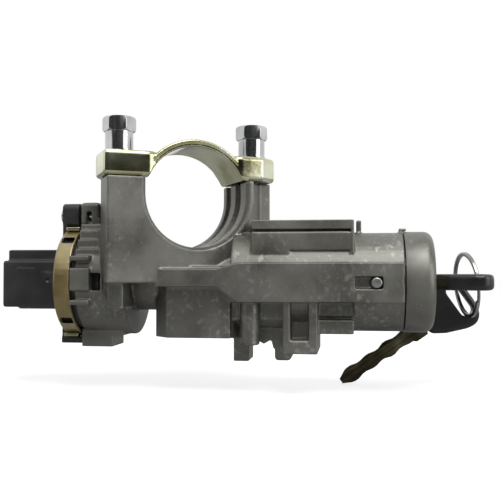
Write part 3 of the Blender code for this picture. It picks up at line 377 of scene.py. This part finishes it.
def bevelChosen(obj, width, segments, chosen):
    # rounds only the edges whose two ends pass the test
    makeActive(obj)
    bpy.ops.object.mode_set(mode="EDIT")
    bpy.ops.mesh.select_all(action="DESELECT")
    bpy.ops.object.mode_set(mode="OBJECT")
    for edge in obj.data.edges:
        edge.select = chosen([obj.data.vertices[i].co for i in edge.vertices])
    bpy.ops.object.mode_set(mode="EDIT")
    bpy.ops.mesh.bevel(offset=width * mm, segments=segments, affect="EDGES")
    bpy.ops.object.mode_set(mode="OBJECT")


def edgeBevel(obj, width, degrees, segments=2):
    mod = obj.modifiers.new("edges", "BEVEL")
    mod.width = width * mm
    mod.segments = segments
    mod.limit_method = "ANGLE"
    mod.angle_limit = math.radians(degrees)
    applyModifiers(obj)


axisTurns = {"X": (0, math.pi / 2, 0), "Y": (-math.pi / 2, 0, 0), "Z": (0, 0, 0)}


def rodAt(name, radius, start, length, axis="Z", sides=48):
    deselectAll()
    along = {"X": Vector((1, 0, 0)), "Y": Vector((0, 1, 0)), "Z": Vector((0, 0, 1))}[axis]
    middle = Vector(start) + along * length / 2
    bpy.ops.mesh.primitive_cylinder_add(vertices=sides, radius=radius * mm, depth=length * mm,
                                        location=middle * mm, rotation=axisTurns[axis])
    obj = bpy.context.object
    obj.name = name
    atOrigin(obj)
    return obj


def turnToClamp(obj):
    # the clamp stands turned about the upright axis
    obj.rotation_euler = (0, 0, math.radians(clampTurn))
    atOrigin(obj)


def trim(obj, point, normal):
    # cuts off what lies on the normal's side and closes the cut
    makeActive(obj)
    bpy.ops.object.mode_set(mode="EDIT")
    bpy.ops.mesh.select_all(action="SELECT")
    bpy.ops.mesh.bisect(plane_co=Vector(point) * mm, plane_no=normal, use_fill=True, clear_outer=True)
    bpy.ops.object.mode_set(mode="OBJECT")


def joinShapes(target, tool, operation):
    mod = target.modifiers.new("shape", "BOOLEAN")
    mod.operation = operation
    mod.solver = "EXACT"
    mod.object = tool
    applyModifiers(target)
    bpy.data.objects.remove(tool)


def fuse(target, *tools):
    for tool in tools:
        joinShapes(target, tool, "UNION")


def carve(target, *tools):
    for tool in tools:
        joinShapes(target, tool, "DIFFERENCE")


def melt(obj, voxel, passes=4, keep=1.0):
    # rounds every edge a little, as casting and moulding do
    remesh = obj.modifiers.new("voxels", "REMESH")
    remesh.mode = "VOXEL"
    remesh.voxel_size = voxel * mm
    soften = obj.modifiers.new("soften", "SMOOTH")
    soften.factor = 0.5
    soften.iterations = passes
    if keep < 1.0:
        thin = obj.modifiers.new("thin", "DECIMATE")
        thin.ratio = keep
    applyModifiers(obj)
    makeActive(obj)
    bpy.ops.object.shade_smooth()


def copyOfNode(nodeName, name):
    source = cadNodes[nodeName]
    obj = bpy.data.objects.new(name, source.data.copy())
    bpy.context.scene.collection.objects.link(obj)
    makeActive(obj)
    bpy.ops.object.mode_set(mode="EDIT")
    bpy.ops.mesh.select_all(action="SELECT")
    bpy.ops.mesh.remove_doubles(threshold=0.000002)
    bpy.ops.mesh.dissolve_limited(angle_limit=math.radians(0.5))
    bpy.ops.object.mode_set(mode="OBJECT")
    return obj


def place(obj, body, slotName, mat, *nodes):
    give(obj, mat)
    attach(obj, body)
    if nodes:
        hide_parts(*nodes)


# the casting starts from its solid, gets its small forms and is then softened

clampTurn = 29.0
lockZ = -32.4
pinX = 72.0

casting = {
    "voxel": 0.38,
    "passes": 2,
    "keep": 0.34,
    "rounding": 0.3,
    "topPlate": ((27.1, -15.6, -13.1), (64.1, -13, -9.8)),
    "topGroove": ((26.0, -17, -14.05), (62.9, -12.7, -13.1)),
    "endGroove": ((62.4, -17, -21.2), (63.3, -13.4, -13.4)),
    "pocket": ((51.4, -22, -45.4), (64.0, -13.9, -39.5)),
    "slab": ((50.9, -15.9, -50.9), (64.0, -8, -45.8)),
    "peg": ((-25.0, -21.9, -42.0), (-19.1, -8, -31.6)),
    "pegSide": ((-27.5, -23, -42.6), (-25.0, -19.4, -31.0)),
    "blockEnd": ((-27, -12, -58), (-22, 8, -52.9)),
    "slotFloor": ((63.4, -17.4, lockZ - 3.2), (75.4, -15.3, lockZ + 3.2)),
    "pinSeatRadius": 2.2,
    "pinSeat": (-23, 9),  # where it starts along Y, and its length
    "endTab": ((80.7, -2.2, -18), (81.95, 1.0, -12.5)),
    "endTabTip": ((80.9, -2.2, -13.6), (83.4, 1.0, -12.5)),
    "seamNotch": ((81.3, -22, -34.0), (83, -18.4, -30.3)),
    "postCorner": ((-60, -2.1, -12.9), (-34.0, 40, 6.6)),
    "postCornerTurn": -15,
    "postFront": ((22.6, -4.6, -20), (33.0, -3.0, 6.2)),
    "terraceFill": ((-38.6, -12, -13.6), (-29.2, 2, -10.6)),
    "underCut": ((19.2, -22, -52), (38.6, -12.5, -39.7)),
    "bossRadius": 3.5,
    "bossFoot": (26.4, -13.4, -55.3),
    "bossHeight": 20,
    "bossRounding": 0.8,
}

lug = {
    "body": ((-41.6, -5.4, -11.0), (-33.6, 5.4, -1.6)),
    "rounding": 1.6,
    "foot": ((-37.5, -5.2, -15.0), (-33.4, 5.2, -8.0)),
    "slot": ((-38.8, -7, -12.0), (-36.8, 7, -5.2)),
    "holeRadius": 2.2,
    "holeStart": (-43, 0, -6.6),
    "holeLength": 7.4,
}


def castBlock(name, bevel=0.0):
    return boxAt(name, *casting[name], bevel)


def makePostCorner():
    # a block turned about its own near edge cuts the left post's corner away
    corner = castBlock("postCorner")
    (_, nearY, _), (farX, _, _) = casting["postCorner"]
    hinge = Vector((farX, nearY, 0)) * mm
    turn = math.radians(casting["postCornerTurn"])
    corner.rotation_euler = (0, 0, turn)
    corner.location = hinge - Matrix.Rotation(turn, 3, "Z") @ hinge
    atOrigin(corner)
    turnToClamp(corner)
    return corner


def makeLug():
    body = boxAt("lug", *lug["body"], lug["rounding"], 4)
    fuse(body, boxAt("lugFoot", *lug["foot"]))
    carve(body, boxAt("lugSlot", *lug["slot"]))
    carve(body, rodAt("lugHole", lug["holeRadius"], lug["holeStart"], lug["holeLength"], "X", 32))
    return body


def makeCasting():
    body = copyOfNode("lock_housing", "castHousing")
    rounding = casting["rounding"]
    fuse(body, castBlock("topPlate"))
    carve(body, castBlock("topGroove"), castBlock("endGroove"), castBlock("pocket"))
    fuse(body, castBlock("slab", rounding), castBlock("peg", rounding))
    carve(body, castBlock("pegSide"), castBlock("blockEnd"))
    fuse(body, castBlock("slotFloor"))
    seatStart, seatDepth = casting["pinSeat"]
    carve(body, rodAt("pinSeat", casting["pinSeatRadius"], (pinX, seatStart, lockZ), seatDepth, "Y", 32))
    fuse(body, castBlock("endTab"), castBlock("endTabTip"))
    carve(body, castBlock("seamNotch"), makePostCorner())
    fuse(body, makeLug(), castBlock("terraceFill"))
    postFront = castBlock("postFront")
    turnToClamp(postFront)
    fuse(body, postFront)
    carve(body, castBlock("underCut"))
    boss = rodAt("boss", casting["bossRadius"], casting["bossFoot"], casting["bossHeight"])
    bevelCaps(boss, casting["bossRounding"], 3)
    fuse(body, boss)
    melt(body, casting["voxel"], casting["passes"], casting["keep"])
    place(body, "housing", "cast_housing", materials["cast"], "lock_housing")


# the clamp cap is a bent strap with an ear at each bolt

boltOffset = 26.8

clampCap = {
    "strapInner": 19.8,
    "strapOuter": 22.1,
    "strapHalf": 12.0,
    "archDrop": -1.4,
    "rimRadius": 0.75,
    "rimInset": (0.3, 0.4),  # from the strap's outside and from its edge
    "earFoot": 6.3,
    "earTop": 15.9,
    "earHalf": 12.5,
    "earInner": 14.2,
    "leftOuter": 35.0,
    "rightOuter": 33.75,
    "earRounding": 1.5,
    "noseRadius": 4.0,
    "noseBehind": -12.0,
    "boltHole": 4.3,
    "voxel": 0.3,
    "passes": 5,
    "keep": 0.8,
}

# where each ear's outer corners are cut off: a point's Y and the cut's direction
earCuts = {
    -1: [(3.0, (-0.93, 0.37, 0))],
    1: [(-7.5, (0.58, -0.81, 0)), (5.5, (0.73, 0.68, 0))],
}


def ear(name, outer, side):
    inner, half = clampCap["earInner"], clampCap["earHalf"]
    low, high = sorted((side * inner, side * outer))
    obj = boxAt(name, (low, -half, clampCap["earFoot"]), (high, half, clampCap["earTop"]))
    for y, direction in earCuts[side]:
        trim(obj, (side * outer, y, 0), direction)

    def isNose(ends):
        return all(abs(end.x - side * inner * mm) < 0.1 * mm and end.y < clampCap["noseBehind"] * mm
                   for end in ends)

    bevelChosen(obj, clampCap["noseRadius"], 8, isNose)
    edgeBevel(obj, clampCap["earRounding"], 40, 3)
    return obj


def makeRim(side):
    insetOut, insetSide = clampCap["rimInset"]
    deselectAll()
    bpy.ops.mesh.primitive_torus_add(
        major_radius=(clampCap["strapOuter"] - insetOut) * mm, minor_radius=clampCap["rimRadius"] * mm,
        major_segments=96, minor_segments=12, rotation=(math.pi / 2, 0, 0),
        location=(0, side * (clampCap["strapHalf"] - insetSide) * mm, clampCap["archDrop"] * mm))
    rim = bpy.context.object
    atOrigin(rim)
    return rim


def makeCap():
    drop = clampCap["archDrop"]
    half = clampCap["strapHalf"]
    cap = rodAt("clampCap", clampCap["strapOuter"], (0, -half, drop), half * 2, "Y", 128)
    fuse(cap, makeRim(-1), makeRim(1))
    trim(cap, (0, 0, clampCap["earFoot"]), (0, 0, -1))
    fuse(cap, ear("leftEar", clampCap["leftOuter"], -1), ear("rightEar", clampCap["rightOuter"], 1))
    carve(cap, rodAt("passage", clampCap["strapInner"], (0, -20, drop), 40, "Y", 128))
    for side in (-1, 1):
        carve(cap, rodAt("boltHole", clampCap["boltHole"], (side * boltOffset, 0, 0), 30))
    turnToClamp(cap)
    melt(cap, clampCap["voxel"], clampCap["passes"], clampCap["keep"])
    place(cap, "housing", "zinc_plated", materials["zinc"], "clamp_cap")


# shear bolts, one made and one copied

bolt = {
    "seat": 16.2,
    "collarRadius": 5.3,
    "flangeLip": 0.5,
    "flangeHeight": 0.9,
    "shankRadius": 4.0,
    "shankFoot": -16,
    "headFoot": 23.9,
    "headTop": 29.55,
    "headRadius": 6.4,
    "domeInset": 0.05,
    "chamfer": 1.1,
    "rounding": 0.25,
    "turn": 12,
    "sharpAngle": 32,
    "overlap": 1,
}


def makeBolts():
    seat, foot, overlap = bolt["seat"], bolt["headFoot"], bolt["overlap"]
    height = bolt["headTop"] - foot
    first = rodAt("shearBoltLeft", bolt["headRadius"], (0, 0, foot), height, "Z", 6)
    dome = rodAt("dome", bolt["headRadius"] - bolt["domeInset"], (0, 0, foot), height, "Z", 64)
    bevelCaps(dome, bolt["chamfer"], 3)
    joinShapes(first, dome, "INTERSECT")
    fuse(first, rodAt("collar", bolt["collarRadius"], (0, 0, seat), foot - seat + overlap, "Z", 64))
    fuse(first, rodAt("flange", bolt["collarRadius"] + bolt["flangeLip"], (0, 0, seat),
                      bolt["flangeHeight"], "Z", 64))
    fuse(first, rodAt("shank", bolt["shankRadius"], (0, 0, bolt["shankFoot"]),
                      seat - bolt["shankFoot"] + overlap))
    edgeBevel(first, bolt["rounding"], bolt["sharpAngle"])
    first.rotation_euler = (0, 0, math.radians(bolt["turn"]))
    atOrigin(first)
    second = first.copy()
    second.data = first.data.copy()
    bpy.context.scene.collection.objects.link(second)
    second.name = "shearBoltRight"
    for obj, side, node in ((first, -1, "shear_bolt_left"), (second, 1, "shear_bolt_right")):
        obj.location = (side * boltOffset * mm, 0, 0)
        atOrigin(obj)
        turnToClamp(obj)
        smoothBy(obj, bolt["sharpAngle"])
        place(obj, "housing", "steel", materials["steel"], node)


# turned lock cap

lockCap = {
    "left": 82.3,
    "right": 92.9,
    "radius": 18.7,
    "round": 3.4,
    "wall": 2.2,
    "insideRadius": 15.4,
    "hole": 10.7,
    "rounding": 0.3,
    "overcut": 1,
}


def makeLockCap():
    left, overcut = lockCap["left"], lockCap["overcut"]
    length = lockCap["right"] - left
    cap = rodAt("lockCap", lockCap["radius"], (left, 0, lockZ), length, "X", 160)
    bevelCaps(cap, lockCap["round"], 8, (1, 0, 0))
    start = (left - overcut, 0, lockZ)
    carve(cap, rodAt("inside", lockCap["insideRadius"], start, length + overcut - lockCap["wall"], "X", 96))
    carve(cap, rodAt("hole", lockCap["hole"], start, length + 3 * overcut, "X", 96))
    edgeBevel(cap, lockCap["rounding"], 40)
    smoothBy(cap, 35)
    place(cap, "housing", "cast_housing", materials["castSmooth"], "lock_cap")


# keys, whose outline is half of the head seen flat

key = {
    "thickness": 5.9,
    "outline": [(0, 4.4), (5.0, 7.6), (13.5, 11.0), (17.5, 11.2), (20.4, 8.6), (21.5, 4.0)],
    "cornerRounding": 1.6,
    "slot": ((14.1, -6.8, -6), (19.0, 6.8, 6)),
    "slotRounding": 2.2,
    "voxel": 0.24,
    "passes": 8,
    "keep": 0.6,
    "seat": (93.2, 0, lockZ),
    "spareSeat": (91.59, 20.1, -49.54),
    "spareAngle": 35.2,
    "bladeRounding": 0.3,
}


def isUpright(ends):
    return abs(ends[0].z - ends[1].z) > 5 * mm


def makeHead(name):
    outline = [(x, -y) for x, y in key["outline"]] + list(reversed(key["outline"]))
    thickness = key["thickness"]
    deselectAll()
    bpy.ops.mesh.primitive_circle_add(vertices=len(outline), radius=0.01, fill_type="NGON")
    head = bpy.context.object
    head.name = name
    for vert, (x, y) in zip(head.data.vertices, outline):
        vert.co = (x * mm, y * mm, -thickness / 2 * mm)
    makeActive(head)
    bpy.ops.object.mode_set(mode="EDIT")
    bpy.ops.mesh.select_all(action="SELECT")
    bpy.ops.mesh.extrude_region_move(TRANSFORM_OT_translate={"value": (0, 0, thickness * mm)})
    bpy.ops.mesh.select_all(action="SELECT")
    bpy.ops.mesh.normals_make_consistent(inside=False)
    bpy.ops.object.mode_set(mode="OBJECT")
    edgeBevel(head, key["cornerRounding"], 12, 3)
    hole = boxAt("slot", *key["slot"])
    bevelChosen(hole, key["slotRounding"], 6, isUpright)
    carve(head, hole)
    melt(head, key["voxel"], key["passes"], key["keep"])
    return head


def makeKeys():
    head = makeHead("keyHead")
    spare = head.copy()
    spare.data = head.data.copy()
    bpy.context.scene.collection.objects.link(spare)
    spare.name = "spareKeyHead"
    head.location = Vector(key["seat"]) * mm
    atOrigin(head)
    angle = math.radians(key["spareAngle"])
    along = Vector((math.cos(angle), 0, math.sin(angle)))
    across = Vector((-math.sin(angle), 0, math.cos(angle)))
    turn = Matrix((along, across, along.cross(across))).transposed().to_4x4()
    spare.matrix_world = Matrix.Translation(Vector(key["spareSeat"]) * mm) @ turn
    atOrigin(spare)
    place(head, "key", "black_plastic", materials["keyPlastic"], "key_head")
    place(spare, "spare_key", "black_plastic", materials["keyPlastic"], "spare_key_head")


def makeBlades():
    for node, name, body in (
        ("key_blade", "keyBlade", "key"),
        ("spare_key_blade", "spareKeyBlade", "spare_key"),
    ):
        obj = copyOfNode(node, name)
        edgeBevel(obj, key["bladeRounding"], 25)
        smoothBy(obj, 30)
        place(obj, body, "key_metal", materials["keyMetal"], node)


# split key ring, two turns of flat wire

ring = {
    "centre": (107.35, 13.36, -33.75),
    "radius": 12.0,
    "wire": (1.5, 0.84),
    "wireRounding": 0.2,
    "pitch": 0.9,
    "wound": 690,
    "steps": 180,
    "yaw": 12.2,
    "lean": 5.9,
}


def makeRing():
    width, height = ring["wire"]
    deselectAll()
    bpy.ops.mesh.primitive_plane_add(size=1.0, rotation=(math.pi / 2, 0, 0))
    wire = bpy.context.object
    wire.name = "splitRing"
    wire.scale = (width * mm, height * mm, 1)
    wire.location = (ring["radius"] * mm, 0, -ring["pitch"] / 2 * mm)
    atOrigin(wire)
    makeActive(wire)
    bpy.ops.object.mode_set(mode="EDIT")
    bpy.ops.mesh.select_all(action="SELECT")
    bpy.ops.mesh.bevel(offset=ring["wireRounding"] * mm, segments=2, affect="VERTICES")
    bpy.ops.mesh.select_all(action="SELECT")
    bpy.ops.mesh.delete(type="ONLY_FACE")
    bpy.ops.object.mode_set(mode="OBJECT")
    sweep = wire.modifiers.new("sweep", "SCREW")
    sweep.angle = math.radians(ring["wound"])
    sweep.screw_offset = ring["pitch"] * mm
    sweep.steps = ring["steps"]
    sweep.render_steps = ring["steps"]
    applyModifiers(wire)
    makeActive(wire)
    bpy.ops.object.mode_set(mode="EDIT")
    bpy.ops.mesh.select_all(action="SELECT")
    bpy.ops.mesh.fill_holes(sides=0)
    bpy.ops.mesh.select_all(action="SELECT")
    bpy.ops.mesh.normals_make_consistent(inside=False)
    bpy.ops.object.mode_set(mode="OBJECT")
    yaw, lean = math.radians(ring["yaw"]), math.radians(ring["lean"])
    near = Vector((math.sin(yaw), -math.cos(yaw), 0))
    up = Vector((-math.sin(lean), 0, math.cos(lean)))
    normal = near.cross(up).normalized()
    turn = Matrix((near, normal.cross(near), normal)).transposed().to_4x4()
    wire.matrix_world = Matrix.Translation(Vector(ring["centre"]) * mm) @ turn
    atOrigin(wire)
    smoothBy(wire, 40)
    place(wire, "ring", "ring_metal", materials["ringMetal"], "key_ring")


# switch body, its retainer and the retainer's two clips

switch = {
    "voxel": 0.4,
    "passes": 2,
    "keep": 0.5,
    "latchHole": ((-53.0, -12, -32.6), (-51.2, -10.2, -30.8)),
    "sideRib": ((-64.5, -11.3, -28.0), (-57, -10, -27.4)),
}

retainer = {
    "voxel": 0.3,
    "passes": 3,
    "keep": 0.8,
    "clipRounding": 0.4,
    "upperClip": ((-45.4, -9.6, -12.9), (-40.0, -4.4, -11.5)),
    "lowerClip": ((-46.2, -9.6, -53.3), (-40.4, -4.4, -51.9)),
}


def makeSwitch():
    body = copyOfNode("switch_body", "switchBody")
    carve(body, boxAt("latchHole", *switch["latchHole"]))
    fuse(body, boxAt("sideRib", *switch["sideRib"]))
    melt(body, switch["voxel"], switch["passes"], switch["keep"])
    place(body, "housing", "black_plastic", materials["plastic"], "switch_body")


def makeRetainer():
    band = copyOfNode("switch_retainer", "switchRetainer")
    melt(band, retainer["voxel"], retainer["passes"], retainer["keep"])
    place(band, "housing", "retainer_steel", materials["retainer"], "switch_retainer")
    for name in ("upperClip", "lowerClip"):
        clip = boxAt(name, *retainer[name], retainer["clipRounding"], 3)
        smoothBy(clip, 40)
        place(clip, "housing", "zinc_plated", materials["zinc"])


# switch screw and retaining pin

screw = {"slot": ((-52, -0.45, -10), (-49.9, 0.45, -3)), "rounding": 0.2}
pin = {"radius": 1.9, "front": -20.7, "length": 6.9, "rounding": 0.5}


def makeScrew():
    head = copyOfNode("switch_screw", "switchScrew")
    carve(head, boxAt("driverSlot", *screw["slot"]))
    edgeBevel(head, screw["rounding"], 30)
    smoothBy(head, 35)
    place(head, "housing", "steel", materials["steel"], "switch_screw")


def makePin():
    body = rodAt("retainingPin", pin["radius"], (pinX, pin["front"], lockZ), pin["length"], "Y")
    bevelCaps(body, pin["rounding"], 3)
    smoothBy(body, 35)
    place(body, "housing", "steel", materials["pin"], "retaining_pin")


# the cad nodes that are shown as they are, brass unless named here

nodeLooks = {
    "lock_sleeve": "steel",
    "drive_shaft": "steel",
    "steering_lock_bolt": "steel",
    "bolt_cover": "steel",
    "switch_rotor": "nylon",
}
for nodeName, cadNode in cadNodes.items():
    give(cadNode, materials[nodeLooks.get(nodeName, "brass")])
print("dressed the cad nodes")

makeCasting()
print("casting done")
makeCap()
print("clamp cap done")
makeBolts()
makeLockCap()
print("bolts and lock cap done")
makeKeys()
makeBlades()
makeRing()
print("keys and ring done")
makeSwitch()
makeRetainer()
makeScrew()
makePin()
print("switch done")


# floor, light and camera, in metres

stage = {
    "floorSize": 8.0,
    "floorDrop": 0.0002,
    "floorColour": (0.5, 0.5, 0.5),
    "floorLift": 0.75,
    "matt": 0.9,
    "worldColour": (0.97, 0.98, 1.0),
    "worldLevel": 0.32,
}

# each lamp's place, aim, size and power
lamps = {
    "keyLight": ((0.25, -0.45, 0.8), (0.03, 0, 0), 0.55, 7.0),
    "fillLight": ((0.85, -0.35, 0.2), (0.05, 0, -0.02), 0.5, 2.2),
}

darkCard = {"size": (2.6, 0.85), "place": (0.4, -0.95, 0.0), "colour": (0.03, 0.03, 0.03)}


def makeFloor():
    deselectAll()
    bpy.ops.mesh.primitive_plane_add(size=stage["floorSize"], location=(0, 0, cadLow[2] - stage["floorDrop"]))
    floor = bpy.context.object
    floor.name = "floor"
    atOrigin(floor)
    mat, nodes, links, shader = newMaterial("paleFloor")
    shader.inputs["Base Color"].default_value = (*stage["floorColour"], 1)
    shader.inputs["Roughness"].default_value = stage["matt"]
    shader.inputs["Emission Color"].default_value = (1, 1, 1, 1)
    path = nodes.new("ShaderNodeLightPath")
    lift = multiply(nodes, links, path.outputs["Is Camera Ray"], stage["floorLift"])
    links.new(lift, shader.inputs["Emission Strength"])
    give(floor, mat)


def makeDarkCard():
    # behind the camera and unseen by it, gives bright metal its dark reflections
    deselectAll()
    bpy.ops.mesh.primitive_plane_add(size=1.0, location=darkCard["place"], rotation=(math.pi / 2, 0, 0))
    card = bpy.context.object
    card.name = "darkCard"
    card.scale = (*darkCard["size"], 1)
    atOrigin(card)
    mat, nodes, links, shader = newMaterial("darkCardPaint")
    shader.inputs["Base Color"].default_value = (*darkCard["colour"], 1)
    shader.inputs["Roughness"].default_value = stage["matt"]
    give(card, mat)
    card.visible_camera = False


def larger(nodes, links, a, b):
    node = nodes.new("ShaderNodeMath")
    node.operation = "MAXIMUM"
    links.new(a, node.inputs[0])
    links.new(b, node.inputs[1])
    return node.outputs["Value"]


def makeWorld():
    # white where it is seen, reflected or looked through, and softer as a light
    world = bpy.data.worlds.new("studio")
    bpy.context.scene.world = world
    world.use_nodes = True
    nodes, links = world.node_tree.nodes, world.node_tree.links
    nodes.clear()
    out = nodes.new("ShaderNodeOutputWorld")
    path = nodes.new("ShaderNodeLightPath")
    seen = nodes.new("ShaderNodeBackground")
    seen.inputs["Color"].default_value = (1, 1, 1, 1)
    light = nodes.new("ShaderNodeBackground")
    light.inputs["Color"].default_value = (*stage["worldColour"], 1)
    light.inputs["Strength"].default_value = stage["worldLevel"]
    seenRay = larger(nodes, links, path.outputs["Is Camera Ray"], path.outputs["Is Transmission Ray"])
    seenRay = larger(nodes, links, seenRay, path.outputs["Is Glossy Ray"])
    mix = nodes.new("ShaderNodeMixShader")
    links.new(seenRay, mix.inputs["Fac"])
    links.new(light.outputs["Background"], mix.inputs[1])
    links.new(seen.outputs["Background"], mix.inputs[2])
    links.new(mix.outputs["Shader"], out.inputs["Surface"])


def softLamp(name, spot, aim, size, power):
    data = bpy.data.lights.new(name, "AREA")
    data.size = size
    data.energy = power
    lamp = bpy.data.objects.new(name, data)
    bpy.context.scene.collection.objects.link(lamp)
    lamp.location = Vector(spot)
    lamp.rotation_mode = "QUATERNION"
    lamp.rotation_quaternion = (Vector(aim) - Vector(spot)).to_track_quat("-Z", "Y")


camera = {
    "place": (63.2, -289.4, -27.9),
    "yaw": 7.6,
    "pitch": 1.5,
    "lens": 54.72,
    "sensor": 36.0,
    "clip": (0.01, 20.0),
}


def makeCamera():
    data = bpy.data.cameras.new("photoCamera")
    data.lens = camera["lens"]
    data.sensor_width = camera["sensor"]
    data.clip_start, data.clip_end = camera["clip"]
    obj = bpy.data.objects.new("photoCamera", data)
    bpy.context.scene.collection.objects.link(obj)
    yaw, pitch = math.radians(camera["yaw"]), math.radians(camera["pitch"])
    look = Vector((-math.sin(yaw) * math.cos(pitch), math.cos(yaw) * math.cos(pitch), math.sin(pitch)))
    obj.location = Vector(camera["place"]) * mm
    obj.rotation_mode = "QUATERNION"
    obj.rotation_quaternion = look.to_track_quat("-Z", "Y")
    bpy.context.scene.camera = obj


makeFloor()
makeWorld()
for lampName, lampValues in lamps.items():
    softLamp(lampName, *lampValues)
makeDarkCard()
makeCamera()
bpy.context.scene.view_settings.view_transform = "Standard"
print("stage ready")
